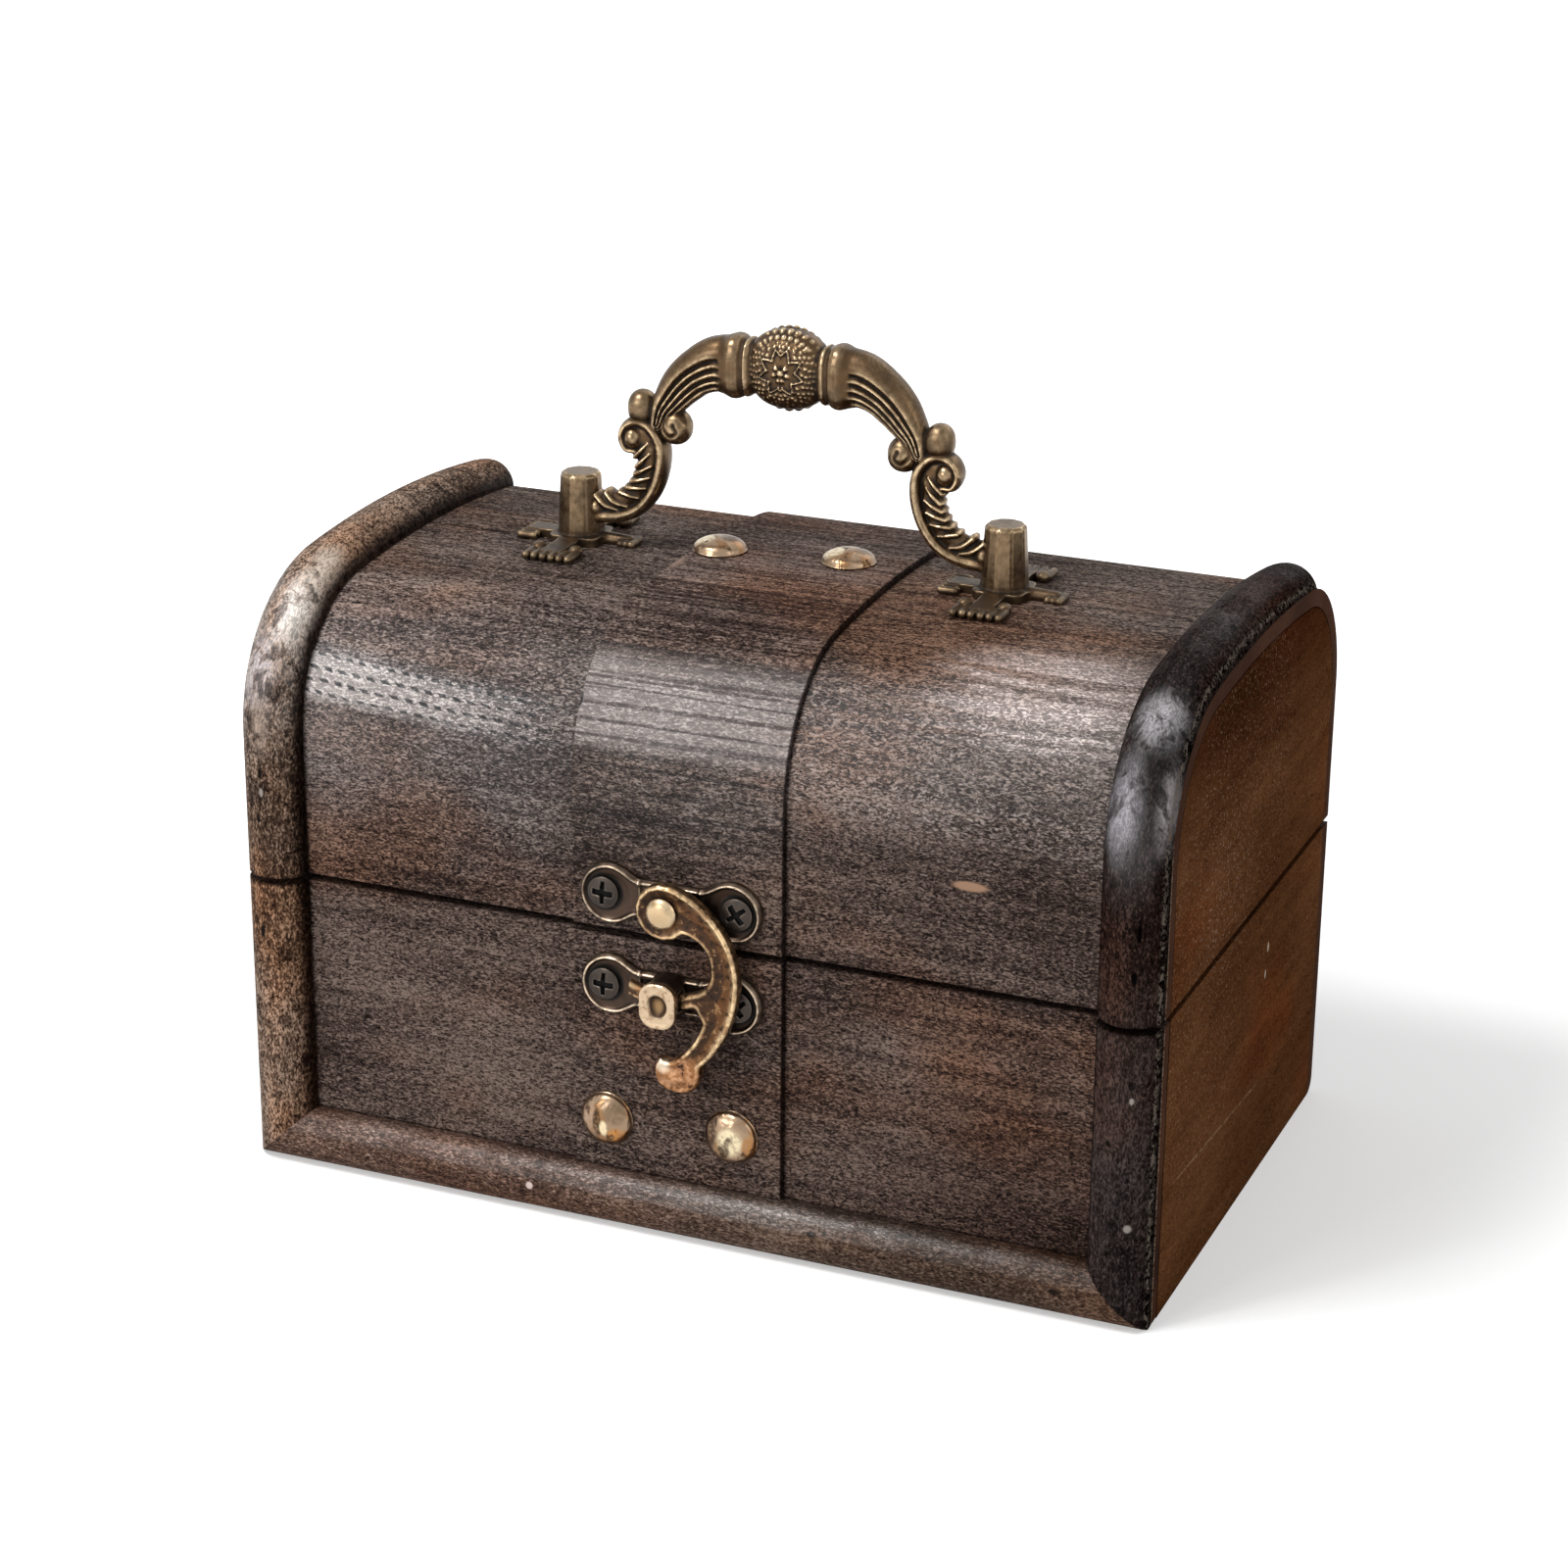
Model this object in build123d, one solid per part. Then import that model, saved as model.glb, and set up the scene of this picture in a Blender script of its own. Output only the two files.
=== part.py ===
from build123d import *
import os
from math import asin, cos, radians, sin

# Chest body. Millimetres. X runs to the right, Y to the back, Z up, origin under the middle of the chest.
chest_width = 160.0
chest_depth = 95.2
seam_height = 52.2
seam_gap = 1.2
panel_thickness = 3.0
end_thickness = 8.0
floor_thickness = 3.0
rear_edge_round = 2.8

# Domed lid: straight walls, a round shoulder, then a gentle crown.
lid_top = 101.4
shoulder_radius = 22.8
crown_slope = 6.2

# Half-round mouldings and the flat centre strap.
moulding_width = 10.5
moulding_thickness = 5.0
moulding_side = 1.2
bottom_moulding_width = 9.8
left_rear_sink = 0.6
right_rear_sink = 1.2
arch_end_angle = 16.0
arch_end_round = 1.0
strap_end_angle = 88.0
strap_centre = -1.4
strap_width = 36.8
strap_thickness = 1.2
brad_radius = 0.7
brad_length = 5.8
brad_top = 3.2
brad_sides = 6
screw_head_sides = 12
screw_shank_sides = 6

# Swing-hook latch. Heights over the strap are measured outwards from its face.
latch_x = -2.0
upper_plate_z = 59.4
lower_plate_z = 43.5
plate_lobe_spacing = 21.8
plate_lobe_radius = 5.0
plate_waist = 6.4
plate_neck_round = 1.6
plate_thickness = 1.0
plate_rim_width = 0.9
plate_rim_height = 1.5
plate_screw_spacing = 23.4
plate_hole_play = 0.2
screw_head_radius = 2.7
screw_head_height = 1.1
screw_radius = 1.1
screw_length = 4.0
screw_cross = 3.0
screw_head_rim = 0.35
screw_head_crown = 0.7
cross_width = 0.28
cross_floor = 0.4
rivet_z = 58.9
rivet_radius = 1.7
rivet_head_radius = 2.6
rivet_head_height = 1.3
hook_play = 0.05
hook_back = 2.5
hook_thickness = 1.9
hook_head_radius = 4.8
hook_reach = 13.2
hook_widest_drop = 10.8
finger_radius = 15.4
finger_thickness = 2.4
finger_tip_angle = 29.0
staple_width = 6.4
staple_height = 7.9
staple_out = 6.8
staple_corner = 2.7
staple_bevel = 0.8
staple_slot_play = 0.3
staple_dimple_radius = 1.9
staple_dimple_depth = 0.6

# Dome-headed nails.
dome_radius = 4.65
dome_height = 2.5
dome_rim = 0.35
dome_flat = 0.12
dome_sides = 24
dome_shank_radius = 0.8
dome_shank_length = 4.0
front_domes = [(-13.9, 18.9), (8.4, 19.8)]
lid_domes = [(-15.3, 0.0), (7.1, 2.4)]

# Swinging carry handle. Its own X is measured from the middle of the handle.
handle_x = -2.8
pivot_z = 107.6
pivot_half_span = 38.3
pivot_radius = 1.5
pivot_play = 0.05
pivot_depth = 4.6
leg_bend_x = 34.0
leg_bend_radius = 9.6
leg_rim_outer = 12.3
leg_rim_inner = 10.9
leg_core_inner = 7.5
leg_rim_depth = 4.6
leg_core_depth = 3.4
leg_facets = 7
leg_overlap = 0.3
rib_inner = 7.0
rib_depth = 4.4
rib_count = 7
rib_angle = 4.2
rib_pitch = 14.0
pin_reach = 0.6
pin_root = 2.0
knuckle_z = 120.6
medallion_z = 135.4
medallion_radius = 6.3
medallion_half_depth = 4.0
medallion_rim_half_depth = 2.4
bead_radius = 0.95
bead_half_depth = 1.4
bead_rows = ((9, 40, 140), (7, 228, 312))
star_length = 6.4
star_width = 1.5
star_rise = 0.25
button_radius = 1.1
button_rise = 0.7
cuff_inner = 5.6
cuff_outer = 9.6
cuff_height = 10.7
cuff_z = 134.9
cuff_depth = 7.2
cuff_bevel = 0.7
cuff_end_scale = 0.86
flute_count = 4
flute_edge = 0.43
flute_valley = 0.39
flute_bevel = 0.3
arm_edge_height = 0.48
boss_crown = 0.62
scroll_rim = 0.55
medallion_sides = 24
bead_sides = 8
scroll_sides = 12
cuff_sides = 20
flat_enough = 1e-6

# Stations along the handle's arm: centre X, centre Z, height, depth and slope in degrees.
arm_stations = (
    (9.1, 134.9, 10.4, 6.4, 2),
    (13.5, 134.5, 9.2, 6.3, 10),
    (17.3, 132.3, 7.9, 6.0, 27),
    (20.4, 128.9, 6.5, 5.4, 48),
    (22.3, 124.4, 4.7, 4.4, 76),
)

# The handle's volute and buds: centre X, centre Z, radius and half depth.
scrolls = ((20.4, 123.0, 3.0, 2.9), (26.6, 125.8, 2.7, 2.7), (27.6, 120.6, 2.6, 2.7), (24.2, 122.6, 2.4, 2.4))

# Posts that carry the handle, and what bolts them through the lid.
post_bottom_radius = 4.1
post_top_radius = 3.7
post_top = 113.6
post_sides = 10
post_bevel = 0.9
post_root = 1.0
post_hole_play = 0.3
post_plate_top = 103.4
post_plate_bottom = 99.5
plate_arm_width = 4.2
plate_arm_x = 19.0
plate_arm_y = 25.0
plate_bar_width = 7.6
plate_bar_length = 3.4
plate_boss_radius = 5.4
tooth_gap = 0.8
tooth_depth = 0.8
post_screw_radius = 1.5
post_screw_depth = 104.9
post_screw_end_play = 0.1
post_screw_head_radius = 2.9
post_screw_head_height = 1.9
washer_radius = 4.2
washer_thickness = 0.9
washer_play = 0.25
washer_sides = 12

# Butt hinges on the back.
hinge_x = 46.0
hinge_width = 20.0
hinge_leaf_height = 9.6
hinge_leaf_thickness = 0.8
hinge_barrel_radius = 1.6
hinge_barrel_stand = 1.66
hinge_pin_radius = 0.7
hinge_play = 0.05
hinge_end_play = 0.1
hinge_cut_play = 0.15
hinge_screw_length = 3.4
hinge_screw_spread = 6.2
hinge_screw_drop = 5.6
hinge_screw_radius = 0.8
hinge_head_radius = 1.7
hinge_head_height = 0.5

# Sizes worked out from the ones above.
half_width = chest_width / 2
half_depth = chest_depth / 2
base_top = seam_height - seam_gap / 2
lid_bottom = seam_height + seam_gap / 2
shoulder_run = half_depth - shoulder_radius
tangent_y = shoulder_run + shoulder_radius * sin(radians(crown_slope))
crown_radius = tangent_y / sin(radians(crown_slope))
crown_centre_z = lid_top - crown_radius
tangent_z = crown_centre_z + crown_radius * cos(radians(crown_slope))
shoulder_z = tangent_z - shoulder_radius * cos(radians(crown_slope))
end_x = half_width - end_thickness
moulding_x = half_width - moulding_width / 2
strap_face = half_depth + strap_thickness
hinge_axis_y = half_depth + hinge_barrel_stand
knuckle_length = hinge_width / 3


def block(x0, x1, y0, y1, z0, z1):
    """A box between two corners."""
    return Pos((x0 + x1) / 2, (y0 + y1) / 2, (z0 + z1) / 2) * Box(x1 - x0, y1 - y0, z1 - z0)


def facing_front(x, y_out, z):
    """A work plane that looks out of the front: local X to the right, local Y up, local Z outwards."""
    return Plane(origin=(x, -y_out, z), x_dir=(1, 0, 0), z_dir=(0, -1, 0))


def facing_back(x, y_out, z):
    """The same, looking out of the back."""
    return Plane(origin=(x, y_out, z), x_dir=(-1, 0, 0), z_dir=(0, 1, 0))


def facing_up(x, y, z):
    """A work plane on the top of the lid, looking up."""
    return Plane(origin=(x, y, z), x_dir=(1, 0, 0), z_dir=(0, 0, 1))


def on_shoulder(inset, angle, side):
    """A point on the lid's front (-1) or rear (1) shoulder, its angle counted from straight up."""
    bend = shoulder_radius - inset
    return (
        side * (shoulder_run + bend * sin(radians(angle))),
        shoulder_z + bend * cos(radians(angle)),
    )


def shoulder_arc(inset, first, last, side):
    """The stretch of a shoulder between two angles."""
    angles = (first, (first + last) / 2, last)
    return ThreePointArc(*[on_shoulder(inset, angle, side) for angle in angles])


def lid_outline(inset, last_angle):
    """The arcs of the lid's outline from the front wall to the rear shoulder, in the plane of Y and Z."""
    crown = (on_shoulder(inset, crown_slope, -1), (0, lid_top - inset), on_shoulder(inset, crown_slope, 1))
    return [
        shoulder_arc(inset, 90, crown_slope, -1),
        ThreePointArc(*crown),
        shoulder_arc(inset, crown_slope, last_angle, 1),
    ]


def lid_solid(inset, x0, x1):
    """Everything inside the lid's outline, between two X positions."""
    side = half_depth - inset
    walls = [
        Line((-side, lid_bottom), (-side, shoulder_z)),
        Line((side, shoulder_z), (side, lid_bottom)),
        Line((side, lid_bottom), (-side, lid_bottom)),
    ]
    face = make_face(lid_outline(inset, 90) + walls)
    return extrude(Plane.YZ.offset(x0) * face, amount=x1 - x0)


def trim_path(x, end_angle):
    """The line that the strap follows: up the front, over the crown, onto the rear shoulder."""
    rise = Line((-half_depth, lid_bottom), (-half_depth, shoulder_z))
    return Wire([Plane.YZ.offset(x) * edge for edge in [rise] + lid_outline(0, end_angle)])


def arc_on(centre, radius, first, last):
    """An arc in the plane of Y and Z between two angles counted from straight up towards the rear."""
    angles = (first, (first + last) / 2, last)
    return ThreePointArc(*[(centre[0] + radius * sin(a), centre[1] + radius * cos(a)) for a in angles])


def sinking_path(x, sink):
    """The line that an arch moulding follows: it leaves the crown and sinks into it towards the rear."""
    start = radians(-crown_slope)
    length = 2 * crown_radius * radians(crown_slope)
    bend = 1 / (1 / crown_radius + 2 * sink / length**2)
    turn = start + length / bend
    y, z = on_shoulder(0, crown_slope, -1)
    crown_centre = (y - bend * sin(start), z - bend * cos(start))
    rear_centre = (
        crown_centre[0] + (bend - shoulder_radius) * sin(turn),
        crown_centre[1] + (bend - shoulder_radius) * cos(turn),
    )
    arcs = [
        Line((-half_depth, lid_bottom), (-half_depth, shoulder_z)),
        shoulder_arc(0, 90, crown_slope, -1),
        arc_on(crown_centre, bend, start, turn),
        arc_on(rear_centre, shoulder_radius, turn, turn + radians(arch_end_angle - crown_slope)),
    ]
    return Wire([Plane.YZ.offset(x) * arc for arc in arcs])


def trim_start(x):
    """The work plane of the trim's lower end: local X along the chest, local Y out of the lid."""
    return Plane(origin=(x, -half_depth, lid_bottom), x_dir=(1, 0, 0), z_dir=(0, 0, -1))


def flat_sided(rings):
    """A solid with flat faces through rings of points, closed by its first and last ring."""
    faces = [make_face(Polyline(*rings[0], close=True)), make_face(Polyline(*rings[-1], close=True))]
    for low, high in zip(rings, rings[1:]):
        for i in range(len(low)):
            a, b, c, d = low[i - 1], low[i], high[i], high[i - 1]
            if abs((b - a).cross(c - a).dot(d - a)) < flat_enough:
                faces.append(make_face(Polyline(a, b, c, d, close=True)))
            else:
                faces.append(make_face(Polyline(a, b, c, close=True)))
                faces.append(make_face(Polyline(a, c, d, close=True)))
    return Solid(Shell(faces))


def stacked(sides, *rings):
    """A turned form with cut sides: its rings' radii and heights, from the bottom up."""
    turns = [radians(360 * i / sides) for i in range(sides)]
    return flat_sided([[Vector(r * cos(t), r * sin(t), z) for t in turns] for r, z in rings])


def dome_rings(radius, base, top, count):
    """Rings of a domed head, from its rim, at base, towards its top."""
    rise = top - base
    ball = (radius**2 + rise**2) / (2 * rise)
    turn = asin(radius / ball)
    angles = [turn * (1 - i / count) for i in range(count)] + [turn * dome_flat]
    return [(ball * sin(a), top - ball * (1 - cos(a))) for a in angles]


def moulding_section(width, thickness):
    """Half-round section: its flat side on local X, its crown towards local Y."""
    half = width / 2
    return make_face(
        [
            Line((-half, 0), (half, 0)),
            Line((half, 0), (half, moulding_side)),
            ThreePointArc((half, moulding_side), (0, thickness), (-half, moulding_side)),
            Line((-half, moulding_side), (-half, 0)),
        ]
    )


def mitre_prism(corners):
    """A prism in front of the chest that keeps what lies inside these X and Z corners."""
    outline = facing_front(0, half_depth, 0) * make_face(Polyline(*corners, close=True))
    return extrude(outline, amount=2 * moulding_thickness)


# Base


def base_panel(side):
    """Front (-1) or back (1) panel. The back one is rounded where the chest rests on its rear edge."""
    outer, inner = side * half_depth, side * (half_depth - panel_thickness)
    panel = block(-half_width, half_width, min(outer, inner), max(outer, inner), 0, base_top)
    if side > 0:
        low_edges = panel.edges().filter_by(Axis.X).group_by(Axis.Z)[0]
        panel = fillet(low_edges.sort_by(Axis.Y)[-1], rear_edge_round)
    return panel


def base_end(side):
    """Left (-1) or right (1) end board, held between the panels."""
    depth = half_depth - panel_thickness
    x0, x1 = sorted((side * end_x, side * half_width))
    return block(x0, x1, -depth, depth, 0, base_top)


def base_floor():
    depth = half_depth - panel_thickness
    return block(-end_x, end_x, -depth, depth, 0, floor_thickness)


def bottom_moulding():
    """The lower front moulding, mitred at both ends into the corner ones."""
    start = Plane(
        origin=(-half_width, -half_depth, bottom_moulding_width / 2), x_dir=(0, 0, 1), z_dir=(1, 0, 0)
    )
    bar = extrude(start * moulding_section(bottom_moulding_width, moulding_thickness), amount=chest_width)
    inner = half_width - moulding_width
    low, high = 0, bottom_moulding_width
    return bar & mitre_prism([(-half_width, low), (half_width, low), (inner, high), (-inner, high)])


def corner_moulding(side):
    """An upright front moulding, mitred into the lower one."""
    start = Plane(origin=(side * moulding_x, -half_depth, 0), x_dir=(1, 0, 0), z_dir=(0, 0, -1))
    bar = extrude(start * moulding_section(moulding_width, moulding_thickness), amount=-base_top)
    outer, inner = side * half_width, side * (half_width - moulding_width)
    return bar & mitre_prism(
        [(outer, 0), (inner, bottom_moulding_width), (inner, base_top), (outer, base_top)]
    )


def base_strap():
    """The flat wooden strap on the front, from the lower moulding to the seam."""
    left, right = strap_centre - strap_width / 2, strap_centre + strap_width / 2
    return block(left, right, -strap_face, -half_depth, bottom_moulding_width, base_top)


# Lid


def lid_skin():
    """Bent plywood sheet that makes the lid's front, top and back, drilled for the handle's screws."""
    skin = lid_solid(0, -half_width, half_width) - lid_solid(panel_thickness, -half_width, half_width)
    for side in (-1, 1):
        hole = RegularPolygon(post_screw_radius + post_hole_play, screw_head_sides)
        spot = Pos(handle_x + side * pivot_half_span, 0, lid_top)
        skin -= spot * extrude(hole, amount=2 * panel_thickness, both=True)
    return skin


def lid_end(side):
    """Left or right end board of the lid, inside the bent sheet."""
    x0, x1 = sorted((side * end_x, side * half_width))
    return lid_solid(panel_thickness, x0, x1)


def arch_moulding(side, sink):
    """Half-round moulding up the lid's front and over its crown, let into the crown towards the rear."""
    x = side * moulding_x
    section = trim_start(x) * moulding_section(moulding_width, moulding_thickness)
    bar = sweep(section, path=sinking_path(x, sink))
    bar -= lid_solid(0, x - moulding_width, x + moulding_width)
    rear_face = bar.faces().filter_by(GeomType.PLANE).sort_by(Axis.Y)[-1]
    return chamfer(rear_face.edges().filter_by(GeomType.CIRCLE), arch_end_round)


def lid_strap():
    """The flat strap's upper length, bent over the lid."""
    section = Rectangle(strap_width, strap_thickness, align=(Align.CENTER, Align.MIN))
    return sweep(trim_start(strap_centre) * section, path=trim_path(strap_centre, strap_end_angle))


# Fasteners


def screw(head_radius, head_height, shank_radius, length, recess=0.0):
    """A screw whose head stands on local Z 0 and whose shank goes down. Recess is the cross's arm."""
    rim, crown = head_height * screw_head_rim, head_radius * screw_head_crown
    body = stacked(screw_head_sides, (head_radius, 0), (head_radius, rim), (crown, head_height))
    body += extrude(RegularPolygon(shank_radius, screw_shank_sides), amount=-length)
    if recess:
        width = recess * cross_width
        cross = Rectangle(recess, width) + Rectangle(width, recess)
        body -= Pos(0, 0, head_height * cross_floor) * extrude(cross, amount=head_height)
    return body


def dome_nail():
    """A dome-headed nail: its head on local Z 0, its shank below."""
    rings = [(dome_radius, 0)] + dome_rings(dome_radius, dome_rim, dome_height, 3)
    shank = extrude(RegularPolygon(dome_shank_radius, screw_shank_sides), amount=-dome_shank_length)
    return stacked(dome_sides, *rings) + shank


def brad(plane):
    """A headless nail, its top sunk into the moulding. The plane lies on the board and looks out."""
    nail = extrude(RegularPolygon(brad_radius, brad_sides), amount=-brad_length)
    return plane * Pos(0, 0, brad_top) * nail


def base_brads():
    """Nails through the base's three mouldings."""
    spots = [(x, bottom_moulding_width / 2) for x in (-30.0, 12.0, 52.0)]
    spots += [(side * moulding_x, z) for side in (-1, 1) for z in (22.0, 40.0)]
    return Compound(children=[brad(facing_front(x, half_depth, z)) for x, z in spots])


def lid_brads():
    """Nails through the arch mouldings: one low on the front and two over the crown on each side."""
    nails = []
    for side in (-1, 1):
        x = side * moulding_x
        nails.append(brad(facing_front(x, half_depth, 62.0)))
        for y in (-20.0, 16.0):
            tilt = y / crown_radius
            spot = (x, crown_radius * sin(tilt), crown_centre_z + crown_radius * cos(tilt))
            nails.append(brad(Plane(origin=spot, x_dir=(1, 0, 0), z_dir=(0, sin(tilt), cos(tilt)))))
    return Compound(children=nails)


# Latch


def latch_plate_blank():
    """The latch's stamped plate: two round lobes, a waist between them and a raised rim."""
    outline = Rectangle(plate_lobe_spacing, plate_waist)
    for side in (-1, 1):
        outline += Pos(side * plate_lobe_spacing / 2, 0) * Circle(plate_lobe_radius)
    outline = fillet(outline.vertices(), plate_neck_round)
    inside = offset(outline, amount=-plate_rim_width)
    plate = extrude(outline, amount=plate_thickness) + extrude(outline - inside, amount=plate_rim_height)
    for side in (-1, 1):
        hole = RegularPolygon(screw_radius + plate_hole_play, screw_shank_sides)
        plate -= Pos(side * plate_screw_spacing / 2, 0, 0) * extrude(hole, amount=plate_thickness)
    return plate


def upper_latch_plate():
    bore = Cylinder(rivet_radius, 4 * plate_thickness)
    plate = latch_plate_blank() - Pos(0, rivet_z - upper_plate_z, 0) * bore
    return facing_front(latch_x, strap_face, upper_plate_z) * plate


def lower_latch_plate():
    """The keeper: the same plate with a standing staple that the hook's finger goes through."""
    face = RectangleRounded(staple_width, staple_height, staple_corner)
    staple = extrude(face, amount=staple_out)
    staple = chamfer(staple.faces().sort_by(Axis.Z)[-1].edges(), staple_bevel)
    dimple = Pos(0, 0, staple_out) * Cylinder(staple_dimple_radius, 2 * staple_dimple_depth)
    pivot = (0, rivet_z - lower_plate_z)
    reach = finger_thickness / 2 + staple_slot_play
    ring = Pos(*pivot) * (Circle(finger_radius + reach) - Circle(finger_radius - reach))
    slot = extrude(ring, amount=hook_thickness + 2 * staple_slot_play)
    slot = Pos(0, 0, hook_back - staple_slot_play) * slot
    keeper = latch_plate_blank() + (staple - dimple)
    return facing_front(latch_x, strap_face, lower_plate_z) * (keeper - slot)


def latch_screws(z):
    """The two cross-head screws of a latch plate."""
    one = screw(screw_head_radius, screw_head_height, screw_radius, screw_length, screw_cross)
    places = [latch_x + side * plate_screw_spacing / 2 for side in (-1, 1)]
    planes = [facing_front(x, strap_face + plate_thickness, z) for x in places]
    return Compound(children=[plane * one for plane in planes])


def latch_rivet():
    """Shouldered rivet that the hook turns on, clenched into the upper plate."""
    collar_top = hook_back - hook_play
    head_base = hook_back + hook_thickness + hook_play
    rivet = Cylinder(rivet_radius, head_base, align=(Align.CENTER, Align.CENTER, Align.MIN))
    rivet += stacked(dome_sides, (rivet_head_radius, plate_thickness), (rivet_head_radius, collar_top))
    head = [(rivet_head_radius, 0)] + dome_rings(rivet_head_radius, dome_rim, rivet_head_height, 2)
    rivet += Pos(0, 0, head_base) * stacked(dome_sides, *head)
    return facing_front(latch_x, strap_face, rivet_z) * rivet


def around_pivot(radius, angle):
    """A point at this radius from the rivet, the angle counted from straight down to the left."""
    return (-radius * sin(radians(angle)), -radius * cos(radians(angle)))


def hook_outline():
    """The ox-horn hook: round eye, crescent arm, curved inner finger and flared tail."""
    arm_centre_x = (hook_head_radius**2 - hook_widest_drop**2 + hook_reach**2) / 2
    arm_centre_x = (arm_centre_x - hook_reach * hook_head_radius) / (hook_reach - hook_head_radius)
    arm_centre = (arm_centre_x, -hook_widest_drop)
    arm_radius = hook_reach - arm_centre_x
    away = arm_radius - hook_head_radius
    touch = tuple(-c / away * hook_head_radius for c in arm_centre)
    belly = (hook_reach, -hook_widest_drop)
    mid_turn = radians(36)
    upper_mid = (
        arm_centre[0] + arm_radius * cos(mid_turn),
        arm_centre[1] + arm_radius * sin(mid_turn),
    )
    throat, crook, crook_end = (3.6, -3.2), (7.2, -5.0), (8.4, -8.6)
    web_mid, web_end = (7.8, -11.2), around_pivot(finger_radius - finger_thickness / 2, -21)
    heel, heel_mid = (7.0, -18.0), around_pivot(finger_radius + finger_thickness / 2, 2)
    tip_in = around_pivot(finger_radius - finger_thickness / 2, finger_tip_angle)
    tip_out = around_pivot(finger_radius + finger_thickness / 2, finger_tip_angle)
    tip_end = around_pivot(finger_radius, finger_tip_angle + 4.4)
    finger_mid = around_pivot(finger_radius - finger_thickness / 2, 4)
    finger_root = around_pivot(finger_radius + finger_thickness / 2, -20)
    barb, tail_left, tail_low = (-0.5, -25.2), (-1.4, -28.6), (2.2, -31.1)
    tail_right, neck = (6.1, -29.0), (6.5, -26.1)
    return make_face(
        [
            ThreePointArc(throat, (-hook_head_radius, 0), touch),
            ThreePointArc(touch, upper_mid, belly),
            ThreePointArc(belly, (11.4, -19.0), neck),
            ThreePointArc(neck, tail_right, (4.9, -30.6)),
            ThreePointArc((4.9, -30.6), tail_low, (-0.2, -30.4)),
            ThreePointArc((-0.2, -30.4), tail_left, barb),
            ThreePointArc(barb, (0.8, -25.7), (2.2, -25.1)),
            ThreePointArc((2.2, -25.1), (5.2, -21.8), heel),
            Line(heel, finger_root),
            ThreePointArc(finger_root, heel_mid, tip_out),
            ThreePointArc(tip_out, tip_end, tip_in),
            ThreePointArc(tip_in, finger_mid, web_end),
            ThreePointArc(web_end, web_mid, crook_end),
            ThreePointArc(crook_end, crook, throat),
        ]
    )


def latch_hook():
    """The swinging hook, bored for the rivet."""
    hook = extrude(hook_outline(), amount=hook_thickness)
    hook -= Cylinder(rivet_radius + hook_play, 3 * hook_thickness)
    return facing_front(latch_x, strap_face + hook_back, rivet_z) * hook


# Handle


def boss(radius, rim_half_depth, half_depth_at_centre, sides):
    """A cut-sided round boss with both faces raised, its axis along Y."""
    crown = radius * boss_crown
    rings = (crown, -half_depth_at_centre), (radius, -rim_half_depth)
    rings += (radius, rim_half_depth), (crown, half_depth_at_centre)
    return Rot(90, 0, 0) * stacked(sides, *rings)


def medallion():
    """Round boss in the middle: domed faces, a beaded rim and an eight-pointed star on each side."""
    body = boss(medallion_radius, medallion_rim_half_depth, medallion_half_depth, medallion_sides)
    beads = Sketch()
    for count, first, last in bead_rows:
        step = (last - first) / (count - 1)
        for i in range(count):
            angle = radians(first + step * i)
            spot = (medallion_radius * cos(angle), medallion_radius * sin(angle))
            beads += Pos(*spot) * RegularPolygon(bead_radius, bead_sides)
    rim = extrude(Plane.XZ * beads, amount=bead_half_depth, both=True)
    star = Sketch()
    for i in range(4):
        star += Rot(0, 0, 22.5 + 45 * i) * Rectangle(star_length, star_width)
    star = extrude(Plane.XZ * star, amount=medallion_half_depth + star_rise, both=True)
    button = Plane.XZ * RegularPolygon(button_radius, bead_sides)
    button = extrude(button, amount=medallion_half_depth + button_rise, both=True)
    return Pos(0, 0, medallion_z) * (body + rim + star + button)


def fluted_section(height, depth):
    """Points of the arm's section: a blunt top and bottom, and a row of ridges on front and back."""
    edge, valley = flute_edge * height, flute_valley * depth
    pitch = 2 * edge / flute_count
    bevel = flute_bevel * pitch
    corner = arm_edge_height * height
    front = [(height / 2, 0), (corner, valley / 2)]
    for i in range(flute_count):
        start = edge - i * pitch
        front += [(start, valley), (start - bevel, depth / 2), (start - pitch + bevel, depth / 2)]
    front += [(-edge, valley), (-corner, valley / 2), (-height / 2, 0)]
    back = [(a, -b) for a, b in front[-2:0:-1]]
    return front + back


def fluted_arm():
    """Horn-shaped arm from the cuff to the knuckle."""
    rings = []
    for x, z, height, depth, slope in arm_stations:
        turn = radians(slope)
        rise, run = sin(turn), cos(turn)
        section = fluted_section(height, depth)
        rings.append([Vector(x + a * rise, -b, z + a * run) for a, b in section])
    return flat_sided(rings)


def cuff():
    """Collar between the medallion and the arm."""
    inner, outer = (cuff_inner, cuff_inner + cuff_bevel), (cuff_outer - cuff_bevel, cuff_outer)
    scales = (cuff_end_scale, 1, 1, cuff_end_scale)
    turns = [radians(360 * i / cuff_sides) for i in range(cuff_sides)]
    rings = []
    for x, scale in zip(inner + outer, scales):
        y_reach, z_reach = scale * cuff_depth / 2, scale * cuff_height / 2
        rings.append([Vector(x, y_reach * cos(t), cuff_z + z_reach * sin(t)) for t in turns])
    return flat_sided(rings)


def scroll(x, z, radius, half_depth_at_centre):
    """A volute or bud: a boss in the plane of the handle."""
    rim = half_depth_at_centre * scroll_rim
    return Pos(x, 0, z) * boss(radius, rim, half_depth_at_centre, scroll_sides)


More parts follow.
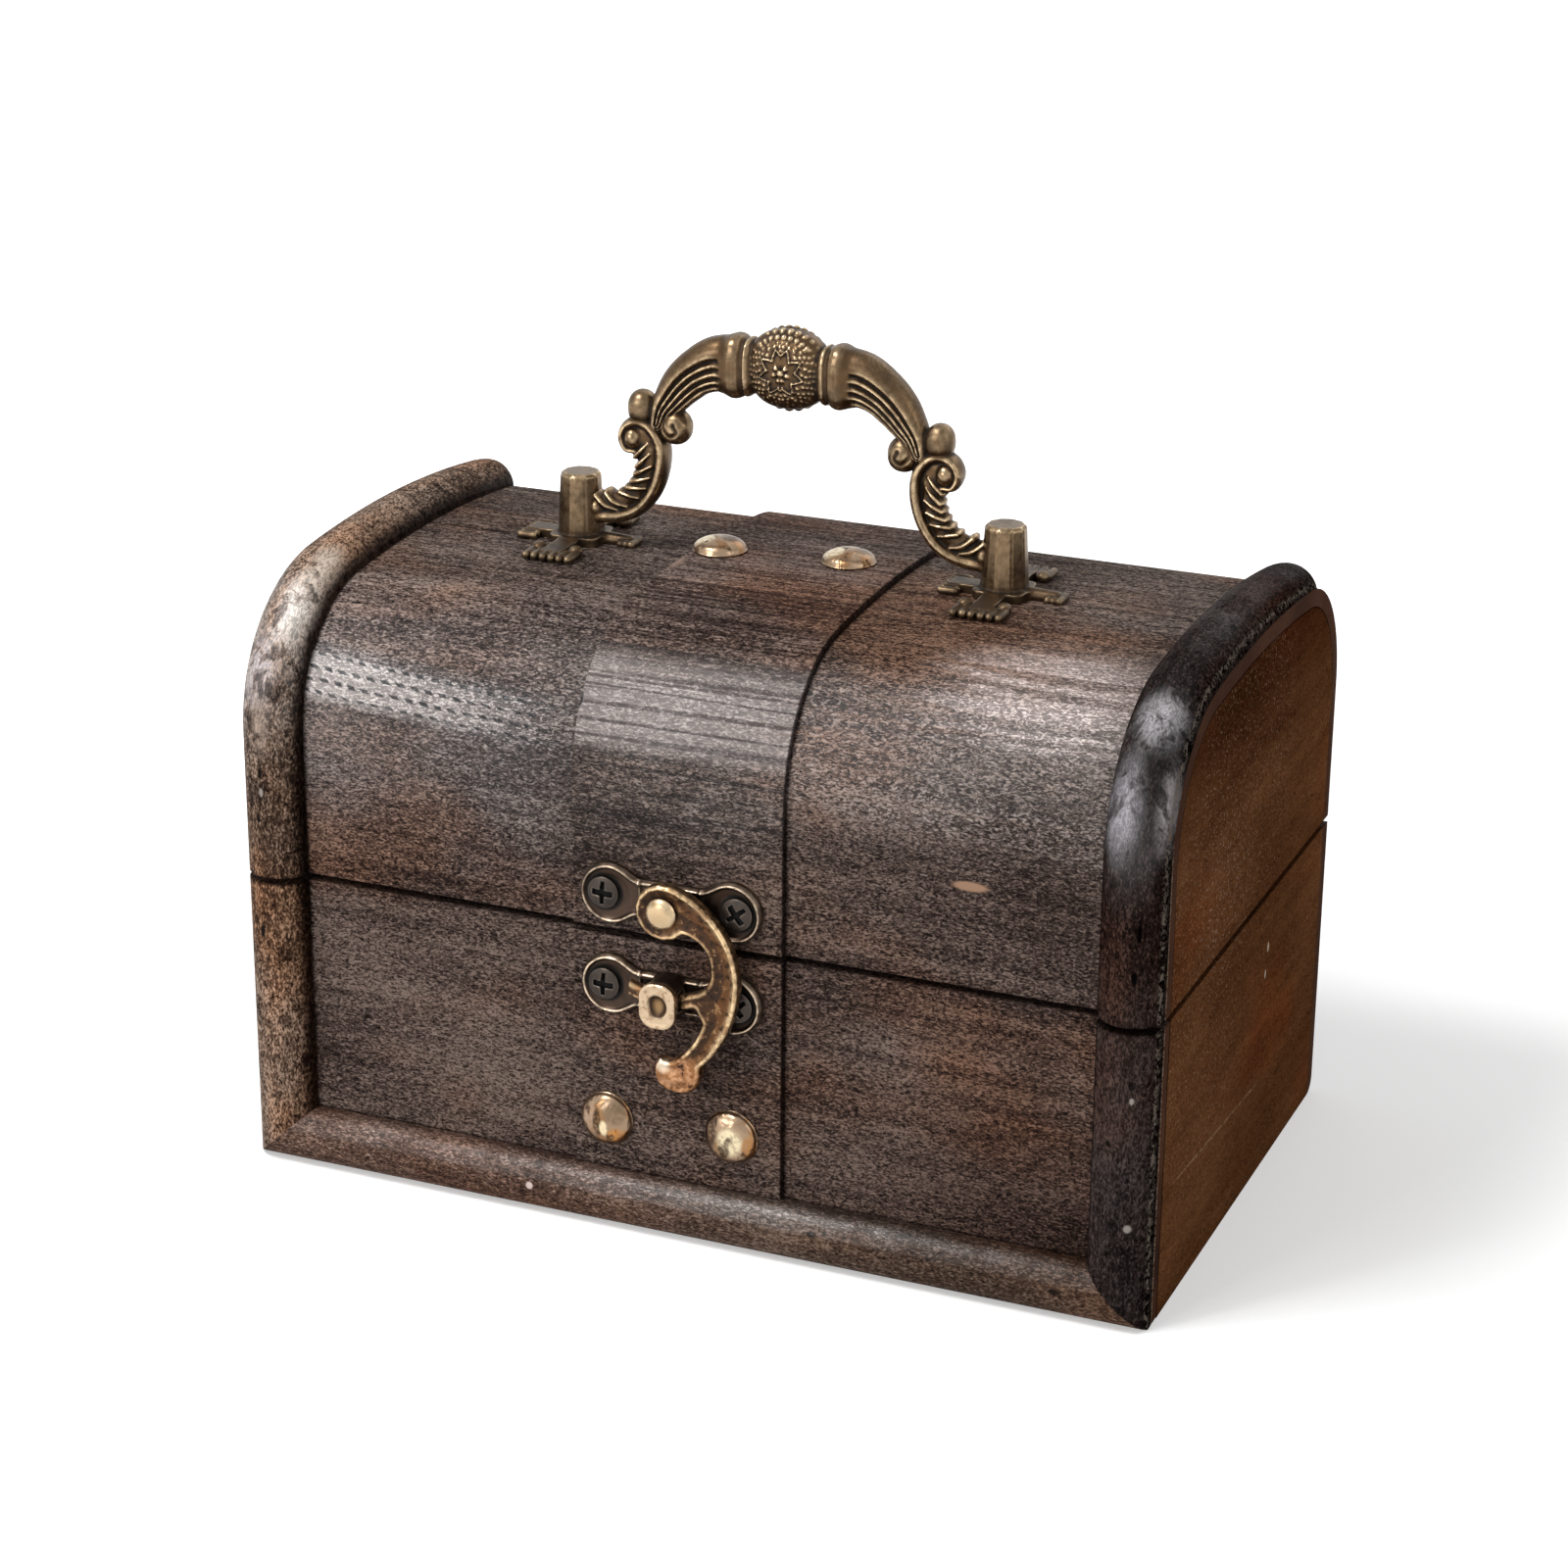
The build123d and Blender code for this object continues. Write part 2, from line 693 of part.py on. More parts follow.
def leg_bend(inner, outer, depth, first, last, facets=1):
    """A stretch of the leg's bend, its angles counted from the upper end down to the pivot."""
    corners = [(inner, -depth / 2), (outer, -depth / 2), (outer, depth / 2), (inner, depth / 2)]
    rings = []
    for i in range(facets + 1):
        turn = radians(first + (last - first) * i / facets)
        run, drop = cos(turn), leg_bend_radius + pivot_z
        rings.append([Vector(leg_bend_x - r * run, y, drop - r * sin(turn)) for r, y in corners])
    return flat_sided(rings)


def c_leg():
    """The leg under the arm: a smooth outer rim, a sunk core and a row of cross ribs."""
    leg = leg_bend(leg_rim_inner, leg_rim_outer, leg_rim_depth, 0, 90, leg_facets)
    leg += leg_bend(leg_core_inner, leg_rim_inner + leg_overlap, leg_core_depth, 0, 90, leg_facets)
    for i in range(rib_count):
        start = i * rib_pitch
        leg += leg_bend(rib_inner, leg_rim_inner + leg_overlap, rib_depth, start, start + rib_angle)
    top = pivot_z + leg_bend_radius
    left, right = leg_bend_x - leg_rim_outer, leg_bend_x - rib_inner
    leg += block(left, right, -leg_rim_depth / 2, leg_rim_depth / 2, top - leg_overlap, knuckle_z)
    pin_length = pivot_half_span + pin_reach - leg_bend_x + pin_root
    pin = Cylinder(pivot_radius, pin_length, align=(Align.CENTER, Align.CENTER, Align.MIN))
    return leg + Pos(leg_bend_x - pin_root, 0, pivot_z) * Rot(0, 90, 0) * pin


def handle_half():
    """Right half of the handle."""
    half = cuff() + fluted_arm() + c_leg()
    for place in scrolls:
        half += scroll(*place)
    return half


def carry_handle():
    """The whole casting: two halves and the medallion."""
    half = handle_half()
    whole = medallion() + half + half.mirror(Plane.YZ)
    return Pos(handle_x, 0, 0) * whole


def handle_post(side):
    """A faceted post on a cross-shaped foot with toothed ends, shaped to the lid's crown."""
    x = handle_x + side * pivot_half_span
    foot = Rectangle(plate_arm_x, plate_arm_width) + Rectangle(plate_arm_width, plate_arm_y)
    foot += RegularPolygon(plate_boss_radius, post_sides)
    for end in (-1, 1):
        y_bar = end * (plate_arm_y - plate_bar_length) / 2
        x_bar = end * (plate_arm_x - plate_bar_length) / 2
        foot += Pos(0, y_bar) * Rectangle(plate_bar_width, plate_bar_length)
        foot += Pos(x_bar, 0) * Rectangle(plate_bar_length, plate_bar_width)
    foot_height = post_plate_top - post_plate_bottom
    foot = extrude(foot, amount=foot_height)
    notch = Box(tooth_gap, 2 * tooth_depth, 2 * tooth_depth)
    for step in (-1, 0, 1):
        along = step * plate_bar_width / 4
        for end in (-1, 1):
            foot -= Pos(along, end * plate_arm_y / 2, foot_height) * notch
            foot -= Pos(end * plate_arm_x / 2, along, foot_height) * Rot(0, 0, 90) * notch
    column_top = post_top - post_plate_bottom
    post = foot + stacked(
        post_sides,
        (post_bottom_radius, post_root),
        (post_top_radius, column_top - post_bevel),
        (post_top_radius - post_bevel, column_top),
    )
    post = Pos(x, 0, post_plate_bottom) * post
    post -= lid_solid(0, x - plate_arm_x, x + plate_arm_x)
    bore = Cylinder(pivot_radius + pivot_play, 2 * pivot_depth)
    post -= Pos(x - side * post_top_radius, 0, pivot_z) * Rot(0, 90, 0) * bore
    screw_hole = Cylinder(post_screw_radius, 2 * (post_screw_depth - lid_top))
    return post - Pos(x, 0, lid_top) * screw_hole


def post_screws():
    """Pan-head screws that hold the posts from inside the lid."""
    seat = lid_top - panel_thickness - washer_thickness
    low = seat - post_screw_head_height
    rings = (post_screw_head_radius * 0.75, low), (post_screw_head_radius, (low + seat) / 2)
    one = stacked(screw_head_sides, *rings, (post_screw_head_radius, seat))
    shank = RegularPolygon(post_screw_radius, screw_head_sides)
    one += Pos(0, 0, seat) * extrude(shank, amount=post_screw_depth - post_screw_end_play - seat)
    return Compound(children=[Pos(handle_x + s * pivot_half_span, 0, 0) * one for s in (-1, 1)])


def post_washers():
    """Washers under the posts' screws, dished to the lid's inside."""
    top = lid_top - panel_thickness
    washers = []
    for side in (-1, 1):
        x = handle_x + side * pivot_half_span
        disc = RegularPolygon(washer_radius, washer_sides)
        disc -= RegularPolygon(post_screw_radius + washer_play, washer_sides)
        washer = Pos(x, 0, top - washer_thickness) * extrude(disc, amount=washer_thickness)
        washers.append(washer & lid_solid(panel_thickness, x - washer_radius, x + washer_radius))
    return Compound(children=washers)


# Hinges


def hinge_leaf(x, up):
    """One leaf: a flat plate on the back and its knuckles. The lid's leaf (up) has the middle one."""
    sign = 1 if up else -1
    reach = sign * hinge_leaf_height
    low, high = sorted((seam_height + reach, seam_height))
    left, right = x - hinge_width / 2, x + hinge_width / 2
    leaf = block(left, right, half_depth, half_depth + hinge_leaf_thickness, low, high)
    knuckles = [0] if up else [-1, 1]
    bore_radius = hinge_pin_radius + (hinge_play if up else 0.0)
    tube_length = knuckle_length - (2 * hinge_end_play if up else 0.0)
    clear = hinge_barrel_radius + hinge_cut_play
    for slot in (-1, 0, 1):
        centre = x + slot * knuckle_length
        if slot in knuckles:
            placed = Pos(centre, hinge_axis_y, seam_height) * Rot(0, 90, 0)
            leaf += placed * Cylinder(hinge_barrel_radius, tube_length)
            leaf -= placed * Cylinder(bore_radius, 2 * knuckle_length)
        else:
            half = knuckle_length / 2 + hinge_end_play
            low, high = seam_height - clear, seam_height + clear
            leaf -= block(centre - half, centre + half, 0, hinge_axis_y + clear, low, high)
    for side in (-1, 1):
        spot_z = seam_height + sign * hinge_screw_drop
        plane = facing_back(x + side * hinge_screw_spread, half_depth, spot_z)
        hole = RegularPolygon(hinge_screw_radius + hinge_end_play, screw_shank_sides)
        leaf -= plane * extrude(hole, amount=2 * hinge_leaf_thickness, both=True)
    return leaf


def hinge_pins():
    """The two hinge pins."""
    pin = Rot(0, 90, 0) * Cylinder(hinge_pin_radius, hinge_width)
    return Compound(children=[Pos(s * hinge_x, hinge_axis_y, seam_height) * pin for s in (-1, 1)])


def hinge_screws(sign):
    """The four screws of both hinges' leaves on the lid (1) or the base (-1)."""
    one = screw(hinge_head_radius, hinge_head_height, hinge_screw_radius, hinge_screw_length)
    face, z = half_depth + hinge_leaf_thickness, seam_height + sign * hinge_screw_drop
    placed = []
    for side in (-1, 1):
        for spread in (-hinge_screw_spread, hinge_screw_spread):
            placed.append(facing_back(side * hinge_x + spread, face, z) * one)
    return Compound(children=placed)


def dome_nails_front():
    """The two dome nails low on the base's strap."""
    return Compound(children=[facing_front(x, strap_face, z) * dome_nail() for x, z in front_domes])


def dome_nails_lid():
    """The two dome nails on top of the lid's strap."""
    top = lid_top + strap_thickness
    return Compound(children=[facing_up(x, y, top) * dome_nail() for x, y in lid_domes])


parts = {
    "base_front_panel": base_panel(-1),
    "base_back_panel": base_panel(1),
    "base_left_end": base_end(-1),
    "base_right_end": base_end(1),
    "base_floor": base_floor(),
    "base_bottom_moulding": bottom_moulding(),
    "base_left_moulding": corner_moulding(-1),
    "base_right_moulding": corner_moulding(1),
    "base_strap": base_strap(),
    "base_moulding_nails": base_brads(),
    "base_dome_nails": dome_nails_front(),
    "lower_latch_plate": lower_latch_plate(),
    "lower_latch_screws": latch_screws(lower_plate_z),
    "left_hinge_base_leaf": hinge_leaf(-hinge_x, False),
    "right_hinge_base_leaf": hinge_leaf(hinge_x, False),
    "hinge_pins": hinge_pins(),
    "base_hinge_screws": hinge_screws(-1),
    "lid_skin": lid_skin(),
    "lid_left_end": lid_end(-1),
    "lid_right_end": lid_end(1),
    "lid_left_moulding": arch_moulding(-1, left_rear_sink),
    "lid_right_moulding": arch_moulding(1, right_rear_sink),
    "lid_strap": lid_strap(),
    "lid_moulding_nails": lid_brads(),
    "lid_dome_nails": dome_nails_lid(),
    "upper_latch_plate": upper_latch_plate(),
    "upper_latch_screws": latch_screws(upper_plate_z),
    "latch_rivet": latch_rivet(),
    "left_hinge_lid_leaf": hinge_leaf(-hinge_x, True),
    "right_hinge_lid_leaf": hinge_leaf(hinge_x, True),
    "lid_hinge_screws": hinge_screws(1),
    "handle_left_post": handle_post(-1),
    "handle_right_post": handle_post(1),
    "handle_post_screws": post_screws(),
    "handle_post_washers": post_washers(),
    "latch_hook": latch_hook(),
    "carry_handle": carry_handle(),
}

os.makedirs("parts", exist_ok=True)
for name, shape in parts.items():
    export_step(shape, f"parts/{name}.step")
    print(name, len(shape.solids()), round(shape.volume, 1))
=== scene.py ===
import math
from collections import namedtuple

import bmesh
import bpy
import numpy as np
from mathutils import Matrix, Vector


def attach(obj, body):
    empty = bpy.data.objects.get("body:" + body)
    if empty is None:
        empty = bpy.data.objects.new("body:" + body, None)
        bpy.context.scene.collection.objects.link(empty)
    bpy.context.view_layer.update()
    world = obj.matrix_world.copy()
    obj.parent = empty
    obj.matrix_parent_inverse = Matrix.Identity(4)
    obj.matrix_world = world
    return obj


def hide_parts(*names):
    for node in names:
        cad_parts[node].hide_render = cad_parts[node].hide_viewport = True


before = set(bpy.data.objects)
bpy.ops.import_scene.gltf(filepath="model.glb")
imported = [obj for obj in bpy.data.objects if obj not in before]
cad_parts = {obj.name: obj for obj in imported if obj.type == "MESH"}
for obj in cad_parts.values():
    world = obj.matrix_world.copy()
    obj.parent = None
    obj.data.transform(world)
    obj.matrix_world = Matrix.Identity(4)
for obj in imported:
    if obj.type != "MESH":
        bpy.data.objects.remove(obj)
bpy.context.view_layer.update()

# A small stained wooden chest with antique brass fittings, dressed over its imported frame.

MM = 0.001

# Sizes and places on the chest, in millimetres.
SEAM = 52.2
SKIN = 3.0
PANEL_FACE = 47.6
END_FACE = 80.0
CROWN_RADIUS = 252.4
CROWN_Z = -151.0
CROWN_EDGE_Y = 27.0
SHOULDER_RADIUS = 22.8
SHOULDER_RUN = 24.8
SHOULDER_Z = 77.26
MOULDING_X = 74.75
MOULDING_INNER = 69.5
MOULDING_HALF = 5.3
BOTTOM_MOULDING_Z = 4.9
BOTTOM_MOULDING_TOP = 9.8
STRAP_LEFT, STRAP_RIGHT = -19.8, 17.0
STRAP_FACE = 48.8
HANDLE_X = -2.8
POST_SPAN = 38.3
PIVOT_Z = 107.6
MEDALLION_Z = 135.3
LATCH_X = -2.0
UPPER_PLATE_Z = 59.4
LOWER_PLATE_Z = 43.5
PLATE_SCREW_X = 11.7
LOBE_X = 10.7
RIVET_Z = 58.9
HOOK_ORIGIN = (LATCH_X, -(STRAP_FACE + 2.5), RIVET_Z)
FINGER_INNER, FINGER_MIDDLE, FINGER_OUTER = 14.2, 15.4, 16.6
DOMES_Z = 102.55


# Shader kit

class Wire:
    """A value in a node tree. Calculating with it adds the Math nodes that do the sum."""

    def __init__(self, recipe, socket):
        self.recipe = recipe
        self.socket = socket

    def math(self, operation, *others):
        values = dict(enumerate((self, *others)))
        return self.recipe.node("ShaderNodeMath", {"operation": operation}, values)

    def __add__(self, other):
        return self.math("ADD", other)

    def __sub__(self, other):
        return self.math("SUBTRACT", other)

    def __rsub__(self, other):
        return self.recipe.node("ShaderNodeMath", {"operation": "SUBTRACT"}, {0: other, 1: self})

    def __mul__(self, other):
        return self.math("MULTIPLY", other)

    __radd__ = __add__
    __rmul__ = __mul__

    def size(self):
        return self.math("ABSOLUTE")

    def sine(self):
        return self.math("SINE")

    def least(self, other):
        return self.math("MINIMUM", other)

    def most(self, other):
        return self.math("MAXIMUM", other)

    def between(self, low, high, start=0.0, stop=1.0):
        """Eases from start to stop while this value goes from low to high."""
        settings = {"interpolation_type": "SMOOTHSTEP"}
        values = {0: self, 1: low, 2: high, 3: start, 4: stop}
        return self.recipe.node("ShaderNodeMapRange", settings, values)

    def until(self, low, high):
        """One up to low, nothing from high on."""
        return self.between(low, high, 1.0, 0.0)


class Recipe:
    """A node tree under construction."""

    def __init__(self, tree):
        self.tree = tree

    def node(self, kind, settings=None, inputs=None, output=0):
        """Any node: its type, its settings, its sockets' values or wires, and the output wanted."""
        made = self.tree.nodes.new(kind)
        for name, value in (settings or {}).items():
            if name == "stops":
                ramp = made.color_ramp
                while len(ramp.elements) < len(value):
                    ramp.elements.new(0.5)
                for element, (position, colour) in zip(ramp.elements, value):
                    element.position = position
                    element.color = (*colour, 1)
            else:
                setattr(made, name, value)
        for key, value in (inputs or {}).items():
            if isinstance(value, Wire):
                self.tree.links.new(value.socket, made.inputs[key])
            else:
                made.inputs[key].default_value = value
        return Wire(self, made.outputs[output]) if made.outputs else None

    def seen_rays(self):
        """One for rays that show a background: the camera's, and those off metal or through glass."""
        names = ("Is Camera Ray", "Is Glossy Ray", "Is Transmission Ray")
        camera, glossy, through = (self.node("ShaderNodeLightPath", output=name) for name in names)
        return camera.most(glossy).most(through)


class Finish(Recipe):
    """A material under construction, with the colour that it has so far."""

    def __init__(self, name):
        self.material = bpy.data.materials.new(name)
        self.material.use_nodes = True
        super().__init__(self.material.node_tree)
        self.tree.nodes.clear()
        self.place = self.node("ShaderNodeTexCoord", output="Object")
        self.colour = None

    def noise(self, stretch, detail=2.0, rough=0.5, at=(0, 0, 0), twist=0.0):
        """Noise whose features are 1/stretch metres long in X, Y and Z."""
        spot = self.node("ShaderNodeMapping", {}, {"Vector": self.place, "Location": at, "Scale": stretch})
        values = {"Vector": spot, "Scale": 1.0, "Detail": detail, "Roughness": rough, "Distortion": twist}
        return self.node("ShaderNodeTexNoise", {}, values)

    def parts(self, vector):
        """The three numbers of a vector."""
        split = self.tree.nodes.new("ShaderNodeSeparateXYZ")
        self.tree.links.new(vector.socket, split.inputs[0])
        return [Wire(self, out) for out in split.outputs]

    def colours(self, value, stops):
        return self.node("ShaderNodeValToRGB", {"stops": stops}, {0: value})

    def over(self, under, colour, amount):
        """One colour laid over another."""
        under, colour = (c if isinstance(c, Wire) else (*c, 1) for c in (under, colour))
        return self.node("ShaderNodeMix", {"data_type": "RGBA"}, {0: amount, 6: under, 7: colour}, output=2)

    def times(self, under, colour, amount=1.0):
        """One colour multiplied by another."""
        settings = {"data_type": "RGBA", "blend_type": "MULTIPLY"}
        return self.node("ShaderNodeMix", settings, {0: amount, 6: under, 7: (*colour, 1)}, output=2)

    def paint(self, colour, amount):
        """Lays a colour over what is there."""
        self.colour = self.over(self.colour, colour, amount)

    def stain(self, colour, amount=1.0):
        """Multiplies what is there by a colour. A colour above one lightens it and keeps its grain."""
        self.colour = self.times(self.colour, colour, amount)

    def attribute(self, name):
        return self.node("ShaderNodeAttribute", {"attribute_name": name}, output="Fac")

    def near(self, spot, radius, stretch=(1, 1, 1), core=0.55):
        """One at a spot given in millimetres, falling to nothing at a radius."""
        scale = tuple(s / MM for s in stretch)
        shift = tuple(-c * s for c, s in zip(spot, stretch))
        local = self.node("ShaderNodeMapping", {}, {"Vector": self.place, "Location": shift, "Scale": scale})
        away = self.node("ShaderNodeVectorMath", {"operation": "LENGTH"}, {0: local}, output="Value")
        return away.until(radius * core, radius)

    def blob(self, spot, reach):
        """One at a spot, falling to nothing at its own reach along X, Y and Z."""
        return self.near(spot, 1.0, tuple(1 / r for r in reach))

    def bump(self, height, distance, strength):
        return self.node("ShaderNodeBump", {}, {"Height": height, "Distance": distance, "Strength": strength})

    def done(self, values, upper=None, amount=0.0):
        """The finished material, or two of them, the upper one showing by an amount."""
        shader = self.node("ShaderNodeBsdfPrincipled", {}, values)
        if upper:
            gloss = self.node("ShaderNodeBsdfPrincipled", {}, upper)
            shader = self.node("ShaderNodeMixShader", {}, {0: amount, 1: shader, 2: gloss})
        self.node("ShaderNodeOutputMaterial", {}, {"Surface": shader})
        return self.material


# Wood

# A wood's colours: pores, middle and light of the grain, and what the warm patches are multiplied by.
Tones = namedtuple("Tones", "dark mid light warm")

BOARD = Tones((0.011, 0.007, 0.006), (0.062, 0.041, 0.034), (0.2, 0.146, 0.12), (1.12, 0.84, 0.66))
END = Tones((0.044, 0.016, 0.0065), (0.104, 0.042, 0.0165), (0.18, 0.082, 0.036), (1.2, 0.92, 0.8))
BOTTOM_TRIM = Tones((0.01, 0.006, 0.0045), (0.05, 0.031, 0.022), (0.19, 0.135, 0.105), (1.1, 0.86, 0.7))
BROWN_TRIM = Tones((0.011, 0.0065, 0.0045), (0.088, 0.055, 0.038), (0.36, 0.27, 0.21), (1.1, 0.86, 0.66))
BLACK_TRIM = Tones((0.0045, 0.0036, 0.0033), (0.016, 0.011, 0.0098), (0.062, 0.047, 0.043), (1.4, 0.9, 0.7))
BARE = Tones((0.28, 0.19, 0.11), (0.5, 0.37, 0.24), (0.64, 0.5, 0.35), (1.05, 0.98, 0.9))

# How a wood takes the light: roughness and shine of the bare stain, roughness and shine of the varnish on it,
# how far the varnish shows in wrinkles only, contrast of the grain, and relief.
Look = namedtuple("Look", "matte shine gloss polish streaky contrast relief")

BOARD_LOOK = Look(0.8, 0.02, 0.4, 0.85, 0.75, 1.0, 0.6)
END_LOOK = Look(0.8, 0.0, 0.4, 0.2, 0.8, 0.45, 0.3)
BOTTOM_LOOK = Look(0.6, 0.02, 0.34, 1.0, 0.6, 0.65, 0.35)
BROWN_LOOK = Look(0.6, 0.02, 0.42, 1.2, 0.3, 0.9, 0.3)
BLACK_LOOK = Look(0.6, 0.0, 0.42, 1.1, 0.3, 0.8, 0.3)
BARE_LOOK = Look(0.7, 0.3, 0.6, 0.3, 0.5, 0.6, 0.5)

ARCH = 3

# Nail holes and pits in the mouldings, in millimetres: place, reach and depth of the stain.
MOULDING_MARKS = (
    ((76.8, -52.4, 68.4), (0.45, 1.0, 2.1), 1.0), ((76.3, -52.4, 61.1), (0.55, 1.0, 1.5), 1.0),
    ((76.7, -52.4, 43.1), (0.7, 1.0, 0.8), 0.8), ((73.2, -52.4, 32.8), (0.6, 1.0, 0.7), 0.9),
    ((76.6, -52.4, 27.0), (0.35, 1.0, 0.5), 0.9), ((-75.1, -52.4, 71.3), (0.45, 1.0, 1.1), 1.0),
    ((-75.8, -52.4, 63.3), (0.4, 1.0, 1.3), 1.0), ((-75.9, -52.4, 43.0), (0.55, 1.0, 1.5), 1.0),
    ((23.9, -52.4, 6.7), (1.0, 1.0, 0.5), 0.9), ((65.5, -52.4, 5.4), (1.4, 1.0, 0.5), 0.9),
    ((77.9, -12.2, 105.6), (0.8, 1.3, 1.5), 0.9), ((78.8, 7.5, 105.6), (0.7, 1.6, 1.5), 0.8),
)

# Pale nail heads and chips in the mouldings: place and reach.
PALE_MARKS = (
    ((76.7, -52.4, 40.6), (0.45, 1.0, 0.7)), ((76.9, -52.4, 18.7), (0.8, 1.0, 0.9)),
    ((-26.8, -52.4, 5.4), (0.8, 1.0, 0.8)), ((-75.0, -52.4, 68.0), (0.5, 1.0, 1.0)),
)

# Painted highlights on the mouldings, partly pale polish from handling: place, radius, stretch and tone.
PAINTED_HIGHLIGHTS_AND_RUBS = (
    ((-76.0, -49.0, 88.5), 9.0, (2.1, 1, 1), (0.56, 0.5, 0.51)),
    ((-73.0, -43.0, 97.5), 10.5, (2.7, 1, 1), (1.0, 0.93, 0.86)),
    ((-72.2, -34.5, 102.5), 8.5, (2.7, 1, 1), (0.7, 0.6, 0.5)),
    ((-75.2, -51.5, 79.5), 8.0, (3.2, 1, 1), (0.4, 0.3, 0.24)),
    ((75.4, -41.5, 99.5), 7.5, (1.3, 1, 1), (0.5, 0.48, 0.5)),
    ((72.8, -49.5, 87.0), 11.0, (2.6, 1, 1), (0.4, 0.38, 0.41)),
    ((79.0, -47.0, 87.0), 10.0, (5.5, 1, 1), (0.42, 0.38, 0.38)),
)

# Where painted shade begins on the left moulding's inner side, and where the right moulding's outer flank
# begins to darken.
LEFT_SHADE_X = -71.2
RIGHT_DARK_X = 77.5


class Wood(Finish):
    """Stained wood under wrinkled varnish. Its grain follows an axis (0, 1, 2) or the lid's arch."""

    def __init__(self, name, grain, tones, seed, contrast):
        super().__init__(name)
        at = (seed * 3.1, seed * 5.7, seed * 7.3)

        def along(long, across):
            if grain == ARCH:
                return (across, long, long)
            return tuple(long if i == grain else across for i in range(3))

        self.wrinkle = self.noise(along(900, 2200), 2, 0.65, at, 1.3)
        speck = self.noise(along(1600, 3000), 2, 0.6, at)
        streak = self.noise(along(13, 460), 3, 0.6, at, 0.3)
        self.blotch = self.noise(along(20, 38), 4, 0.6, at)
        fine = 1.5 * (self.wrinkle - 0.5) + 1.2 * (speck - 0.5) + 0.55 * (streak - 0.5)
        tone = 0.5 + contrast * fine + 0.7 * (self.blotch - 0.5)
        self.colour = self.colours(tone, [(0.24, tones.dark), (0.5, tones.mid), (0.8, tones.light)])
        tint = self.noise(along(16, 30), 3, 0.55, (seed, seed * 2, 4)).between(0.44, 0.66)
        self.paint(self.times(self.colour, tones.warm), tint)
        self.stain((0.3, 0.27, 0.27), self.wrinkle.until(0.33, 0.43) * contrast * 0.75)
        self.height = self.wrinkle + 0.45 * speck + 0.2 * streak
        self.worms = self.wrinkle.between(0.47, 0.6) * (0.35 + 0.65 * speck.between(0.4, 0.6))
        self.xyz = x, y, z = self.parts(self.place)
        start = 0.058 + 0.01 * x.between(-0.01, 0.03)
        lit = (z - start).between(0.0, 0.02) * z.until(0.0955, 0.0995) * y.between(-0.02, -0.03)
        self.satin = 0.12 + 0.88 * lit

    def shade_edge(self, distance, reach=0.0009, depth=0.8):
        """Dirt and shadow that gather along an edge, from the distance to it in metres."""
        self.stain((0.12, 0.1, 0.1), distance.until(0.0, reach) * depth)

    def shade_seam(self, reach=0.0009):
        self.shade_edge((self.xyz[2] - SEAM * MM).size() - 0.0004, reach)

    def varnished(self, look):
        """The material: dull stain, with varnish on it as far as the satin says."""
        satin = self.satin * (self.worms * look.streaky + (1 - look.streaky))
        satin = satin * (0.65 + 0.7 * self.blotch.between(0.36, 0.6))
        base = {"Base Color": self.colour, "Normal": self.bump(self.height, 0.0003 * look.relief, 0.85)}
        dull = {**base, "Roughness": look.matte, "Specular IOR Level": look.shine}
        varnish = {**base, "Roughness": look.gloss, "Specular IOR Level": look.polish}
        return self.done(dull, varnish, satin.least(1.0))


def stained_wood(name, grain, tones, seed, look, dress=None):
    wood = Wood(name, grain, tones, seed, look.contrast)
    if dress:
        dress(wood)
    return wood.varnished(look)


def board_joints(wood):
    """Dirt and painted shade where the front and the lid meet the mouldings and the strap, on their outer
    faces only.
    """
    x, y, z = wood.xyz
    _, facing_y, facing_z = wood.parts(wood.node("ShaderNodeTexCoord", output="Normal"))
    outer_front = facing_y.until(-0.4, -0.2) * y.until(-0.001, 0.001)
    outer = outer_front.most(facing_z.between(0.03, 0.12))
    trimmed = outer * y.until(0.034, 0.036)
    wood.shade_edge((MOULDING_INNER * MM - x.size()).size(), 0.0005, 0.8 * trimmed)
    wood.shade_seam(0.0005)
    wood.shade_edge((z - BOTTOM_MOULDING_TOP * MM).size(), 0.0005, 0.8 * outer_front)
    wood.shade_edge((x - STRAP_RIGHT * MM).size(), 0.0005, 0.9 * outer)
    wood.shade_edge((x - STRAP_LEFT * MM).size(), 0.0003, 0.6 * outer)


def painted_sheen_rows(wood, fall, front):
    """Rows of painted sheen with black dashes that cross the lid's left shoulder, and where the sheen lies.
    """
    x = wood.xyz[0]
    band = fall.between(0.0788, 0.081) * fall.until(0.0864, 0.0868) * front
    faint = x.until(-0.066, -0.016)
    drift = wood.noise((70, 160, 160), 2, 0.5, (4, 1, 9))
    rows = (fall * (2 * math.pi / 0.0019) + 4.0 * drift).sine()
    dashes = (x * (2 * math.pi / 0.0027) + fall * 2600.0 + 9.0 * drift).sine()
    pale = (0.34 * faint + (0.36 + 0.3 * faint) * wood.worms) * band * x.between(-0.034, -0.02, 1.0, 0.3)
    black = rows.until(-0.85, -0.35) * dashes.between(-0.35, 0.15) * band
    # Painted sheen: the pale rows are laid into the colour.
    wood.paint((0.74, 0.67, 0.64), pale * 0.85)
    wood.stain((0.03, 0.025, 0.03), black * x.until(-0.03, -0.018))
    return pale


